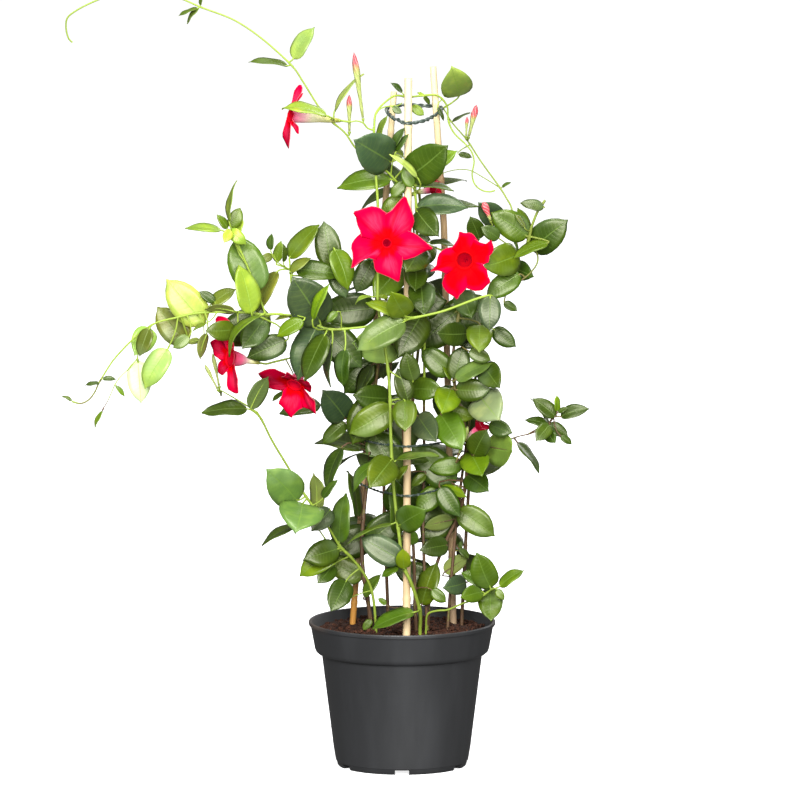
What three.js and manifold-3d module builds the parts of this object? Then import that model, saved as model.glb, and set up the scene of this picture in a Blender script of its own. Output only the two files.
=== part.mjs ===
// A mandevilla in its nursery pot: a black plastic pot filled with soil, three bamboo canes tied with
// wire rings, and twelve leafy stems with their blooms and buds. Millimetres, +Z up. The origin is the
// middle of the pot's underside, and the plant's front faces -Y.

import * as THREE from 'three';
import { mergeVertices } from 'three/addons/utils/BufferGeometryUtils.js';
import Module from 'manifold-3d';

const wasm = await Module();
wasm.setup();

// ---------------------------------------------------------------- driving dimensions

const POT_HEIGHT = 146;
const RIM_RADIUS = 93.5;
const FOOT_RADIUS = 64.4;
const FLOOR_UNDER = 5;
const FLOOR_TOP = 7.5;
const HUB_RADIUS = 22;
const POT_SIDES = 30;
const NOTCHES = 6;
const NOTCH_BOX = [14, 11, 9];
const NOTCH_INSET = 4.4;
const NOTCH_RISE = 0.8;
const DRAIN_RADIUS = 4.5;
const DRAIN_RING = 40;
const DRAIN_SIDES = 8;
const SOIL_TOP = 137;
const SEAT_GAP = 0.32;
const HOLE_SIDES = 6;
const HOLE_EASE = 1.16;
const HOLE_ABOVE = 10;

const CANE_SIDES = 10;
const WIRE_RADIUS = 1.2;
const WIRE_SIDES = 6;

// Stems and leaves are laid out on a front sheet: a drawing of the plant as seen from the front and 9
// degrees above. A place on it is millimetres across, millimetres down, and millimetres back from the
// pot's axis.
const SHEET_TILT = THREE.MathUtils.degToRad(9);
const POT_ACROSS = 402;
const GROUND_DOWN = 765;
const RIGHT = new THREE.Vector3(1, 0, 0);
const UP = new THREE.Vector3(0, Math.sin(SHEET_TILT), Math.cos(SHEET_TILT));
const TOWARD = new THREE.Vector3(0, -Math.cos(SHEET_TILT), Math.sin(SHEET_TILT));

const FINE_STEP = 3;
const PLACE_STEP = 2;
const MOST_TURN = THREE.MathUtils.degToRad(17);
const LONGEST_RUN = 90;
const FOOT_DEPTH = 22;
const CLEARANCE = 0.4;

// A blade is widest in the middle, folded up a little along its midrib, and thin at the edge.
// Each station of a blade is a share of its length and of its width.
const BLADE_STATIONS = [[0.2, 0.84], [0.5, 1.02], [0.8, 0.74]];
const SMALL_STATIONS = [[0.27, 1], [0.68, 0.95]];
const SMALL_LEAF = 40;
const BLADE_THICKNESS = 1.5;
const MIN_KEEL = 0.8;
const BLADE_FOLD = 0.1;
const BLADE_ARCH = 0.05;
const STRONG_ARCH = 0.2;
const BROADEST = 0.66;
const SLENDEREST = 0.56;
const LONGEST_BLADE = 58;
const STALK_RADIUS = 0.95;
const SHORT_STALK = 16;
const ROOT_RADIUS = 0.5;
const SESSILE = 8;
const NEAR_TIP = 0.7;
const TIP_SHARE = 0.8;
const LEAST_OVER = 0.05;

// The rule for the far-side leaves: how far a pair spreads, how its blades droop and roll, and how
// its lengths and stalks vary, each as a middle value and a wave.
const FILL_SPREAD = [28, 26, 1.9];
const FILL_DROOP = [-0.3, 0.45, 2.3];
const FILL_ROLL = [0.35, 1.3];
const FILL_LENGTH = [50, 7, 2.7];
const FILL_STALK = [9, 4, 3.1];
const FILL_WIDTH = 0.6;
const FILL_ARCH = 0.09;

const TUBE_FOOT = 1.5;
const LEAST_WAIST = 2;
const WAIST = 0.075;
const THROAT = 0.19;
const THROAT_DEPTH = 0.45;
const LIMB_BACK = [0.6, -1.8];
const LIMB_FACE = [-1, -0.2];
const SHOULDER_AT = 0.38;
const SHOULDER_REACH = 0.93;
const BLOOM_STALK = 1.1;
const BUD_STALK = 0.8;
const FLOWER_STALK_SIDES = 4;
const CALYX_HEIGHT = 4;
const CALYX_FLARE = 1.1;
const STALK_LEAD = 10;
const BUD_SIDES = 5;

// The side of a bud, as shares of its radius and of its length.
const BUD_FOOT = 1.2;
const BUD_PROFILE = [[0.66, 0.4], [1, 0.72], [0.75, 0.88]];

const COLOURS = {
  pot: 0x2b2b2d, soil: 0x3a241b, cane: 0xd8bb8c, wire: 0x40503f, wood: 0x7a5a3c,
  young: 0x86b83c, leaf: 0x46782a, dark: 0x2f5a24, bloom: 0xf01238, bud: 0xd8d884,
};

// ---------------------------------------------------------------- solids

function point(x, y, z) {
  return new THREE.Vector3(x, y, z);
}

function mix(...pairs) {
  const sum = point(0, 0, 0);
  for (const [vector, share] of pairs) sum.addScaledVector(vector, share);
  return sum;
}

function onSheet(across, down, back) {
  const height = (GROUND_DOWN - down - back * Math.sin(SHEET_TILT)) / Math.cos(SHEET_TILT);
  return point(across - POT_ACROSS, back, height);
}

function solidOf(geometry) {
  const bare = geometry.clone();
  bare.deleteAttribute('normal');
  bare.deleteAttribute('uv');
  const welded = mergeVertices(bare, 1e-3);
  const corners = [];
  const index = welded.index.array;
  for (let i = 0; i < index.length; i += 3) {
    const [a, b, c] = [index[i], index[i + 1], index[i + 2]];
    if (a !== b && b !== c && c !== a) corners.push(a, b, c);
  }
  return new wasm.Manifold(new wasm.Mesh({
    numProp: 3,
    vertProperties: Float32Array.from(welded.attributes.position.array),
    triVerts: Uint32Array.from(corners),
  }));
}

function solidFrom(corners, faces) {
  const geometry = new THREE.BufferGeometry();
  const places = new Float32Array(corners.flatMap((corner) => corner.toArray()));
  geometry.setAttribute('position', new THREE.BufferAttribute(places, 3));
  geometry.setIndex(faces);
  return solidOf(geometry);
}

function geometryOf(solid) {
  const mesh = solid.getMesh();
  const geometry = new THREE.BufferGeometry();
  geometry.setAttribute('position', new THREE.BufferAttribute(Float32Array.from(mesh.vertProperties), 3));
  geometry.setIndex(Array.from(mesh.triVerts));
  geometry.computeVertexNormals();
  return geometry;
}

// The corners of a smooth path: one wherever it has turned enough, or run far enough.
function cornersOf(points) {
  const curve = new THREE.CatmullRomCurve3(points, false, 'centripetal');
  const fine = curve.getSpacedPoints(Math.max(4, Math.round(curve.getLength() / FINE_STEP)));
  const corners = [fine[0]];
  let way = fine[1].clone().sub(fine[0]).normalize();
  for (let i = 1; i + 1 < fine.length; i += 1) {
    const ahead = fine[i + 1].clone().sub(fine[i]).normalize();
    const run = fine[i].distanceTo(corners[corners.length - 1]);
    if (ahead.angleTo(way) > MOST_TURN || run > LONGEST_RUN) {
      corners.push(fine[i]);
      way = fine[i + 1].clone().sub(fine[i]).normalize();
    }
  }
  corners.push(fine[fine.length - 1]);
  return corners;
}

// A tube along straight runs between corners, mitred at each.
function sweep(corners, radius, sides) {
  const rings = [];
  const ways = corners.slice(1).map((corner, i) => corner.clone().sub(corners[i]).normalize());
  let over = point(ways[0].y, ways[0].z, ways[0].x).cross(ways[0]).normalize();
  corners.forEach((corner, i) => {
    const before = ways[Math.max(i - 1, 0)];
    const after = ways[Math.min(i, ways.length - 1)];
    const miter = mix([before, 1], [after, 1]).normalize();
    over = mix([over, 1], [miter, -over.dot(miter)]).normalize();
    const side = over.clone().cross(miter);
    for (let k = 0; k < sides; k += 1) {
      const angle = (2 * Math.PI * k) / sides;
      rings.push(mix([corner, 1], [side, radius * Math.cos(angle)], [over, radius * Math.sin(angle)]));
    }
  });
  const faces = [];
  const last = rings.length - sides;
  for (let k = 0; k < sides; k += 1) {
    const next = (k + 1) % sides;
    for (let start = 0; start < last; start += sides) {
      const [a, b] = [start + k, start + next];
      faces.push(a, b, b + sides, a, b + sides, a + sides);
    }
    if (k > 0 && next > 0) {
      faces.push(0, next, k);
      faces.push(last, last + k, last + next);
    }
  }
  return solidFrom(rings, faces);
}

function rod(from, to, radius, sides) {
  return sweep([from, to], radius, sides);
}

// A lathe solid about Z from a profile of radius and height pairs.
function turned(profile, sides) {
  const points = profile.map(([radius, height]) => new THREE.Vector2(radius, height));
  return solidOf(new THREE.LatheGeometry(points, sides).rotateX(Math.PI / 2));
}

// The same solid, laid with its Z axis along a direction.
function placed(profile, sides, base, direction) {
  const points = profile.map(([radius, height]) => new THREE.Vector2(radius, height));
  const geometry = new THREE.LatheGeometry(points, sides);
  geometry.applyQuaternion(new THREE.Quaternion().setFromUnitVectors(point(0, 1, 0), direction));
  geometry.translate(base.x, base.y, base.z);
  return solidOf(geometry);
}

// ---------------------------------------------------------------- pot, soil, canes and rings

// Outside of the pot from the foot up to the lip, as radius and height.
const POT_OUTSIDE = [
  [FOOT_RADIUS, 0], [65.8, 5], [68.8, 20], [80.3, 111.8], [84.8, 114.6], [87.4, 119],
  [91.6, 141], [RIM_RADIUS, 142.2], [RIM_RADIUS, POT_HEIGHT],
];
const POT_INSIDE = [
  [90.6, POT_HEIGHT], [85.8, 119.6], [78.7, 113], [65, FLOOR_TOP],
];
const SHELL_FOOT_INNER = 56;

function potSolid() {
  const underside = [[0, 0], [HUB_RADIUS, 0], [HUB_RADIUS + 1.5, FLOOR_UNDER],
    [SHELL_FOOT_INNER - 1, FLOOR_UNDER], [SHELL_FOOT_INNER, 0]];
  let pot = turned([...underside, ...POT_OUTSIDE, ...POT_INSIDE, [0, FLOOR_TOP]], POT_SIDES);
  for (let i = 0; i < NOTCHES; i += 1) {
    const angle = (2 * Math.PI * i) / NOTCHES - Math.PI / 2;
    const notch = new THREE.BoxGeometry(...NOTCH_BOX).translate(FOOT_RADIUS - NOTCH_INSET, 0, NOTCH_RISE);
    pot = pot.subtract(solidOf(notch.rotateZ(angle)));
    const hole = new THREE.CylinderGeometry(DRAIN_RADIUS, DRAIN_RADIUS, FLOOR_TOP + 1, DRAIN_SIDES);
    hole.rotateX(Math.PI / 2).rotateZ(angle);
    hole.translate(DRAIN_RING * Math.cos(angle), DRAIN_RING * Math.sin(angle), FLOOR_TOP - 2);
    pot = pot.subtract(solidOf(hole));
  }
  return pot;
}

// A cane runs from its foot in the soil to its top, through a slight bend where it has one.
const CANES = {
  cane_front: { radius: 4.1, foot: point(4.5, -50, 0), top: onSheet(408.3, 79, -24), down: 70 },
  cane_left: { radius: 3.3, foot: point(-49.5, 38, 0), top: onSheet(394, 92, 8), down: 60 },
  cane_right: { radius: 3.5, foot: point(51.5, 38, 0), bend: onSheet(444, 227, 18),
    top: onSheet(433, 67, 10), down: 60 },
};

function canePoints(cane) {
  const ground = cane.foot.clone().setZ(SOIL_TOP);
  const next = cane.bend ?? cane.top;
  const slope = next.clone().sub(ground).divideScalar(next.z - ground.z);
  const end = ground.clone().addScaledVector(slope, -cane.down);
  return cane.bend ? [end, cane.bend, cane.top] : [end, cane.top];
}

function caneCentre(name, height) {
  const points = canePoints(CANES[name]);
  const above = points.findIndex(({ z }) => z > height);
  const low = points[above - 1];
  return low.clone().lerp(points[above], (height - low.z) / (points[above].z - low.z));
}

function caneSolid(name) {
  return sweep(canePoints(CANES[name]), CANES[name].radius, CANE_SIDES);
}

// A ring of wire lies round the outside of the three canes at a height, and its ends pass side by
// side. It is straight for a little way where it passes a cane, and round between them. It rises by
// its slope from front to back.
const RINGS = {
  ring_top: { height: 660, bulge: 0, slope: 0.19 },
  hoop_upper: { height: 327, bulge: -8, slope: -0.06 },
  hoop_lower: { height: 282, bulge: -8, slope: 0.03 },
};
const RING_FLAT = 3.5;
const RING_SHARES = [0.36, 0.64];

function ringPoints({ height, bulge, slope }) {
  const names = ['cane_front', 'cane_right', 'cane_left'];
  const centres = names.map((name) => caneCentre(name, height));
  const middle = mix(...centres.map((centre) => [centre, 1 / 3]));
  const outward = (place) => place.clone().sub(middle).setZ(0).normalize();
  const points = [];
  centres.forEach((centre, i) => {
    const out = outward(centre);
    const along = point(-out.y, out.x, 0);
    const touch = mix([centre, 1], [out, CANES[names[i]].radius + WIRE_RADIUS + SEAT_GAP]);
    points.push(mix([touch, 1], [along, -RING_FLAT]), mix([touch, 1], [along, RING_FLAT]));
    const next = centres[(i + 1) % centres.length];
    const radius = (centre.distanceTo(middle) + next.distanceTo(middle)) / 2 + bulge;
    for (const share of RING_SHARES) {
      points.push(mix([middle, 1], [outward(centre.clone().lerp(next, share)), radius]));
    }
  });
  const start = points.pop();
  const end = mix([start, 1], [outward(start), 2 * WIRE_RADIUS + SEAT_GAP]);
  return [start, ...points, end].map(({ x, y }) => point(x, y, height + slope * (y - middle.y)));
}

// ---------------------------------------------------------------- leaves

// A ring of three corners round a place: left, right and keel.
function keelRing(place, way, upper, radius) {
  const over = mix([upper, 1], [way, -upper.dot(way)]);
  if (over.length() < LEAST_OVER) over.copy(point(way.y, way.z, way.x)).cross(way);
  over.normalize();
  const side = way.clone().cross(over);
  return [mix([place, 1], [side, radius], [over, radius / 2]),
    mix([place, 1], [side, -radius], [over, radius / 2]), mix([place, 1], [over, -radius])];
}

// A leaf: a three-sided stalk from its root, where it has one, and a blade with a keel below. The
// frame holds its base, its axis, side and upper directions, its length, width and arch.
function leafSolid(frame, root, grow = 0) {
  const { base, axis, side, upper, length, width, arch } = frame;
  const stations = length < SMALL_LEAF ? SMALL_STATIONS : BLADE_STATIONS;
  const radius = Math.min(STALK_RADIUS, 0.5 + length * 0.02) + grow;
  const rings = [];
  const stalk = root ? base.clone().sub(root) : axis.clone();
  const reach = stalk.length();
  stalk.normalize();
  if (root) rings.push(keelRing(root, stalk, upper, ROOT_RADIUS + grow));
  if (!root || reach > SESSILE) {
    const between = mix([stalk, 1], [axis, 1]).normalize();
    rings.push(keelRing(base, between.length() ? between : axis, upper, radius));
  }
  const middle = (share) => mix([base, 1], [axis, (length + grow) * share],
    [upper, 4 * arch * length * share * (1 - share)]);
  for (const [share, factor] of stations) {
    const half = (width / 2) * factor + grow;
    const centre = middle(share);
    const keel = BLADE_THICKNESS * (share > NEAR_TIP ? TIP_SHARE : 1) + grow - BLADE_FOLD * half;
    rings.push([mix([centre, 1], [side, half], [upper, BLADE_FOLD * half + grow]),
      mix([centre, 1], [side, -half], [upper, BLADE_FOLD * half + grow]),
      mix([centre, 1], [upper, -Math.max(keel, MIN_KEEL)])]);
  }
  const corners = [...rings.flat(), middle(1)];
  const last = corners.length - 1;
  const faces = [0, 1, 2];
  for (let i = 0; i < rings.length; i += 1) {
    for (let k = 0; k < 3; k += 1) {
      const [here, next] = [3 * i + k, 3 * i + ((k + 1) % 3)];
      if (i + 1 < rings.length) faces.push(here, here + 3, next, next, here + 3, next + 3);
      else faces.push(here, last, next);
    }
  }
  return solidFrom(corners, faces);
}

// The blade that a row of the sheet describes: base across and down, tip across and down, the width
// seen, and traits: u shows the underside, b points away, r rolls the other way, a is strongly arched.
function sheetBlade(row, depth) {
  const [baseAcross, baseDown, tipAcross, tipDown, seenWidth, traits = ''] = row;
  const across = tipAcross - baseAcross;
  const rise = baseDown - tipDown;
  const seenLength = Math.hypot(across, rise);
  const length = Math.max(seenLength, Math.min(seenWidth / BROADEST, LONGEST_BLADE));
  const width = Math.max(seenWidth, SLENDEREST * length);
  const lean = Math.acos(seenLength / length) * (traits.includes('b') ? -1 : 1);
  const along = mix([RIGHT, across / seenLength], [UP, rise / seenLength]);
  const beside = mix([RIGHT, rise / seenLength], [UP, -across / seenLength]);
  const axis = mix([along, Math.cos(lean)], [TOWARD, Math.sin(lean)]);
  const facing = mix([TOWARD, Math.cos(lean)], [along, -Math.sin(lean)]);
  const under = traits.includes('u') ? -1 : 1;
  const rolled = traits.includes('r') ? -1 : 1;
  const roll = Math.acos(seenWidth / width) * -under * rolled * Math.sign(beside.z || 1);
  return {
    base: onSheet(baseAcross, baseDown, depth),
    axis,
    side: mix([beside, Math.cos(roll)], [facing, Math.sin(roll)]).multiplyScalar(under),
    upper: mix([facing, Math.cos(roll)], [beside, -Math.sin(roll)]).multiplyScalar(under),
    length,
    width,
    arch: traits.includes('a') ? STRONG_ARCH : BLADE_ARCH,
  };
}

// ---------------------------------------------------------------- stems, leaves, blooms and buds

// Each stem is a node. Its axes are routes of across, down and back, and an axis that stands in the
// soil has a foot of across and back. A leaf row follows sheetBlade, and its last number moves the
// blade back from its stem. An axis with fill carries opposite pairs of leaves on its far side.
const STEMS = {
  shoot_runner: { colour: COLOURS.young, axes: [
    { radius: 1.9, foot: [419.5, -34], route: [[420, 612, -44], [411, 582, -58], [404, 567, -60],
      [398, 527, -62], [393, 480, -62], [391, 440, -62], [389, 380, -62], [383, 335, -60],
      [378, 305, -52], [377.5, 273, -50], [378, 240, -48], [377.5, 208, -46], [375, 162, -42],
      [373.5, 128, -38]],
    leaves: [[401, 560, 361, 537, 27], [404, 568, 403, 549, 15], [398, 566, 381, 576, 9],
      [391, 524, 347, 541, 4], [400, 525, 425, 510, 28], [381, 463, 353, 492, 12, 'a'],
      [391, 460, 370, 486, 30, '', 8], [397, 460, 439, 456, 6], [413, 612, 371, 629, 14, '', -14],
      [378, 143, 387, 116, 6], [396, 478, 408, 464, 8], [408, 400, 398, 368, 18, '', 8],
      [413, 380, 406, 352, 20, '', 10], [405, 401, 405, 431, 24, '', 8]] },
    { radius: 1.1, route: [[373.6, 130, -38], [376, 114, -32], [387, 101, -20], [396, 96.5, -12],
      [408, 98, -8], [425, 95.5, -4], [438, 96.5, 0], [447, 107, 3], [448, 119, 4], [450.5, 129, 2],
      [456, 136, 0], [464, 143, -3], [471, 151, -4], [474, 161, -5], [472, 175, -6], [475, 185, -6],
      [483, 191, -6], [491, 192, -5], [495, 191, -4]],
    leaves: [[402, 93, 391, 83, 5], [412, 107, 424, 116, 9]] },
    { radius: 1, route: [[373.5, 132, -38], [368, 129, -40], [363, 124, -42], [356, 122, -43],
      [351, 122.5, -44]] },
    { radius: 0.7, route: [[376, 116, -33], [380, 110, -30], [386, 107, -27], [393, 107, -22],
      [399, 106, -17], [402, 103, -14]], leaves: [[393, 108, 402, 114, 7]] },
  ] },
  shoot_left_high: { colour: COLOURS.young, axes: [
    { radius: 1.2, foot: [407, 8], route: [[407, 560, 10], [408, 480, 8], [411, 400, 4], [414, 320, 0],
      [415, 260, -6], [411, 210, -14], [403, 190, -21], [396, 181, -26], [387, 172, -30],
      [372, 162.5, -34], [356, 149, -34], [345, 134, -36], [326, 117, -38], [304, 84, -40],
      [295, 70, -40], [282, 57, -38], [258, 36, -34], [234, 21, -30], [201, 8, -24], [181, 0, -20],
      [140, -11, -14], [101, 0, -10], [77, 12, -8], [68, 19.5, -6], [67, 31, -4], [70, 40, -2],
      [73, 43, -1]],
    leaves: [[294, 59, 314, 28, 16], [287, 67, 249, 63, 6], [326, 116, 283, 107, 9, '', -34],
      [335, 111, 363, 74, 4], [390, 162, 355, 141, 41, '', 12], [393, 147, 404, 128, 8],
      [396, 152, 408, 134, 6], [403, 157, 376, 144, 10], [388, 160, 400, 156, 8],
      [404, 188, 386, 164, 14, '', 4], [390, 180, 337, 188, 20], [404, 184, 391, 198, 12, '', 4],
      [402, 198, 380, 212, 14]] },
  ] },
  shoot_upper_mid: { colour: COLOURS.leaf, axes: [
    { radius: 1.7, foot: [427, -8], route: [[424, 560, -6], [423, 520, 0], [424, 460, 2], [424, 400, -12],
      [424, 320, -32], [420, 270, -34], [417, 235, -36], [415.5, 205, -37], [414.5, 190, -38],
      [416, 178, -35], [421, 171, -32], [424, 160, -30], [424, 152, -29]],
    leaves: [[425, 173, 457, 151, 17, '', -16], [410, 176, 447, 147, 37, '', 12],
      [422, 176, 423, 150, 4, '', -16],
      [416, 187, 454, 191, 5, '', -8], [416, 184, 429, 173, 8], [417, 208, 468, 208, 20],
      [430, 206, 480, 206, 10, '', 14], [417, 212, 438, 237, 26], [418, 236, 431, 240, 8],
      [430, 243, 456, 246, 6], [421, 262, 436, 247, 15, '', 6], [421, 248, 421, 276, 30, '', -6],
      [416, 266, 415, 291, 24, '', 5],
      [421, 283, 424, 315, 27, '', 10], [417, 178, 390, 155, 6, '', -12], [412, 187, 403, 168, 12],
      [422, 314, 398, 358, 34, '', -12]] },
  ] },
  shoot_arm: { colour: COLOURS.leaf, axes: [
    { radius: 1.6, foot: [448, 4], route: [[453, 560, 8], [459, 500, 8], [467, 440, 2],
      [475, 380, -14], [485, 335, -36], [494, 311, -54], [491, 297, -68], [440, 312, -74],
      [405, 320, -78], [383, 324, -80], [357, 328, -80], [327, 329, -80], [313, 323, -80],
      [300, 320, -80], [281, 314.5, -82], [266, 314.5, -84]],
    leaves: [[404, 322, 356, 350, 29], [400, 315, 366, 302, 13], [405, 316, 392, 293, 26, '', 6],
      [320, 321, 293, 278, 43],
      [313, 319, 329, 284, 9, '', -24], [298, 318, 290, 298, 6, '', -14], [303, 321, 277, 336, 14, '', -10],
      [337, 312, 327, 323, 8], [325, 335, 304, 381, 22, '', -12],
      [318, 326, 297, 380, 30, '', 4], [332, 345, 329, 387, 7], [345, 350, 343, 387, 15],
      [490, 298, 489, 331, 22], [494, 330, 516, 347, 17], [324, 330, 362, 368, 35, '', 40],
      [302, 318, 341, 341, 30, '', 40], [268, 317, 217, 339, 36, '', 14]] },
    { radius: 1.2, route: [[270, 314.5, -83.5], [266, 314.5, -84], [250, 313, -86], [232, 312, -86],
      [200, 313.5, -86], [176, 318, -86], [157, 323, -86], [146, 330, -85], [135, 339, -84],
      [123, 350, -83], [113, 362, -82], [103, 378, -82], [99, 385, -82], [96, 392, -82],
      [90, 400, -82], [82, 403, -82], [73, 401.5, -82]],
    leaves: [[252, 313, 241, 265, 23, '', -12], [212, 304, 236, 289, 13, '', 4],
      [235, 311, 206, 308, 9, 'u'],
      [234, 330, 207, 331, 20], [215, 302, 200, 292, 10], [262, 316, 229, 357, 6, 'a'],
      [264, 320, 243, 349, 26, '', 8], [286, 341, 247, 358, 24, '', 12], [204, 323, 167, 279, 34, '', 12],
      [186, 341, 158, 307, 29, '', 24], [189, 337, 174, 348, 12], [207, 334, 200, 359, 9, 'u'],
      [200, 340, 188, 343, 6, 'u'], [206, 324, 193, 331, 4], [150, 329, 140, 357, 15, '', -8],
      [150, 329, 136, 355, 24, '', 12], [104, 379, 117, 379, 5]] },
    { radius: 1.1, route: [[266, 314.5, -84], [258, 292, -86], [246, 262, -88], [233, 232, -90]],
    leaves: [[258, 289, 237, 236, 37, '', 4], [229.5, 222, 236, 181, 5], [221, 231, 186, 228, 8],
      [232, 228, 241, 208, 14, '', 4], [231, 231, 247, 245, 13, 'a'], [231, 231, 225, 243, 10],
      [228, 229, 218, 215, 8], [236, 237, 243, 218, 9]] },
    { radius: 1.1, route: [[300, 320, -80], [293, 296, -72], [291, 276, -68], [290, 262, -66]],
    leaves: [[290, 258, 319, 225, 18], [277, 273, 256, 313, 14], [297, 270, 342, 275, 20],
      [291, 272, 311, 258, 9]] },
    { radius: 0.9, route: [[291, 270, -67], [283, 267, -67], [277, 265, -68]],
    leaves: [[272, 256, 260, 262, 9], [271, 250, 272, 234, 7], [277, 262, 281, 241, 10],
      [284, 262, 284, 244, 5]] },
    { radius: 0.9, route: [[291, 277, -68], [312, 276, -62], [333, 268, -56], [344, 258, -50]],
    leaves: [[331, 265, 324, 222, 26], [335, 250, 349, 291, 22], [334, 268, 346, 299, 20, '', 6]] },
    { radius: 1.1, route: [[327, 329, -80], [318, 341, -72], [305, 351, -64], [292, 357.5, -60],
      [286, 359.5, -58]] },
    { radius: 0.9, route: [[180, 317, -86], [176, 332, -88], [171, 344, -88], [168, 350, -88]],
    leaves: [[168, 350, 145, 389, 24]] },
    { radius: 0.8, route: [[137, 337.5, -84], [139, 352, -87], [138, 362, -87]],
    leaves: [[139, 362, 142, 403, 24]] },
    { radius: 0.6, route: [[138.5, 360, -87], [128, 371, -86], [120, 378, -86], [116, 384, -86],
      [113, 391, -86], [108, 402, -86], [103, 410, -86]] },
    { radius: 0.8, route: [[467, 441, 2], [486, 441, -2], [505, 440, -8], [520, 436, -12], [533, 433, -16],
      [548, 424, -18], [557, 413, -18]],
    leaves: [[555, 416, 533, 398, 15], [561, 416, 589, 408, 13], [557, 411, 557, 395, 6],
      [558, 412, 568, 407, 5], [548, 424, 525, 419, 9], [549, 425, 536, 441, 15],
      [546, 430, 555, 443, 13], [549, 424, 568, 436, 12], [561, 436, 572, 444, 7],
      [548, 424, 531, 398, 4], [518, 443, 540, 472, 9]] },
  ] },
  shoot_low_left: { colour: COLOURS.leaf, axes: [
    { radius: 1.5, foot: [376, -20], route: [[370, 585, -26], [352, 558, -36], [341, 547, -42],
      [331, 532, -48], [325, 521, -52], [309, 500, -58], [300, 487, -60], [287, 465, -64],
      [272, 440, -68], [262, 420, -72], [257, 412, -74]],
    leaves: [[337, 552, 299, 576, 22], [338, 549, 304, 560, 26, '', 8], [333, 565, 318, 583, 18, '', 8],
      [346, 581, 331, 611, 24],
      [350, 598, 338, 605, 8], [339, 543, 345, 493, 20], [297, 500, 268, 470, 36],
      [303, 503, 297, 530, 45], [317, 511, 315, 473, 15, 'u'], [323, 497, 337, 479, 8],
      [330, 510, 312, 530, 20, '', 6], [251, 408, 268, 376, 17, 'u'], [247, 409, 202, 413, 15]] },
    { radius: 0.9, route: [[257, 412, -74], [247, 405, -75], [234, 398, -76], [222, 391, -76]] },
    { radius: 0.9, route: [[341, 548, -42], [330, 544, -46], [320, 531, -52], [311, 521, -57],
      [300, 524, -59]], leaves: [[295, 526, 261, 544, 9]] },
  ] },
  stem_left: { colour: COLOURS.wood, axes: [
    { radius: 2.2, foot: [371, 4], route: [[366, 590, 0], [363, 570, 0], [362, 540, 8], [365, 500, 14],
      [371, 450, 14], [374, 400, 8], [380, 350, 0], [386, 300, -8], [385, 262, -14]],
    fill: { from: 0.5, to: 0.95, pairs: 2, aim: 122 },
    leaves: [[361, 578, 328, 560, 24], [364, 597, 380, 574, 10], [371, 620, 363, 630, 8],
      [358, 517, 350, 470, 10, '', 8],
      [345, 418, 323, 391, 31], [345, 423, 322, 443, 16], [372, 365, 357, 402, 12],
      [388, 398, 353, 395, 26], [391, 409, 349, 434, 30, '', -12], [341, 448, 325, 492, 14],
      [320, 404, 279, 413, 16], [372, 262, 356, 293, 22], [400, 266, 374, 297, 30],
      [374, 308, 319, 313, 35], [376, 398, 352, 445, 34, '', 16], [375, 435, 401, 484, 35],
      [369, 541, 407, 514, 30], [392, 306, 447, 301, 37], [373, 363, 344, 393, 27]] },
  ] },
  stem_front: { colour: COLOURS.wood, axes: [
    { radius: 2, foot: [416, -12], route: [[415, 600, -14], [414, 560, -16], [412, 530, -16],
      [408, 500, -14], [405, 460, -14], [403, 420, -18], [405, 380, -22], [408, 345, -24],
      [407, 318, -21], [404, 295, -18]],
    leaves: [[398, 533, 395, 477, 18], [406, 460, 429, 460, 10], [425, 474, 411, 486, 10],
      [423, 343, 398, 349, 14],
      [411, 389, 443, 390, 23], [418, 416, 436, 441, 26],
      [418, 537, 402, 540, 14], [422, 604, 436, 562, 21], [432, 590, 446, 602, 12],
      [403, 345, 351, 343, 36, 'u', -32], [386, 604, 378, 598, 5]] },
  ] },
  stem_right: { colour: COLOURS.wood, axes: [
    { radius: 2, foot: [428, 6], route: [[430, 595, 6], [437, 564, 6], [449, 535, 5], [457, 519, 4],
      [461, 508, 2], [464, 495, -2], [467, 470, -8], [468, 445, -14], [462, 415, -22],
      [455, 387, -30], [453, 360, -32], [456, 330, -30], [462, 300, -26], [468, 275, -22],
      [474, 250, -20], [480, 234, -18]],
    leaves: [[462, 464, 428, 469, 19], [470, 452, 482, 475, 30], [467, 475, 488, 491, 24, '', 6],
      [486, 446, 513, 451, 34, 'u'], [474, 455, 487, 430, 24, '', -16], [442, 487, 467, 496, 10],
      [440, 488, 460, 517, 20, '', -4], [460, 511, 495, 536, 27], [452, 520, 424, 527, 15, 'u'],
      [447, 545, 420, 550, 20], [449, 374, 421, 348, 24],
      [451, 389, 442, 413, 27], [457, 390, 491, 389, 23], [456, 379, 492, 362, 16, '', -18],
      [455, 378, 464, 345, 22, '', -8], [454, 378, 453, 356, 5], [451, 379, 443, 366, 5],
      [484, 366, 499, 387, 24], [470, 352, 491, 361, 14], [479, 395, 498, 419, 37],
      [490, 424, 512, 433, 17], [441, 415, 462, 450, 30], [447, 409, 475, 418, 16],
      [480, 325, 479, 351, 26, '', -8], [462, 291, 471, 317, 24, '', -8], [466, 334, 437, 333, 24, '', -8],
      [478, 342, 457, 343, 12], [479, 239, 470, 217, 18], [441, 489, 415, 512, 22, '', -12],
      [456, 312, 414, 348, 36, '', 14], [452, 483, 411, 445, 34], [459, 500, 421, 539, 37, '', 18],
      [434, 580, 393, 567, 26]] },
  ] },
  stem_right_back: { colour: COLOURS.leaf, axes: [
    { radius: 1.9, foot: [462, 30], route: [[464, 580, 32], [467, 520, 28], [471, 460, 22],
      [477, 400, 14], [483, 350, 8], [491, 310, 0], [506, 280, -10], [518, 256, -20],
      [528, 242, -28], [531, 228, -30], [538, 211, -30], [545, 201, -29]],
    fill: { from: 0.2, to: 0.68, pairs: 4, aim: 112 },
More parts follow.
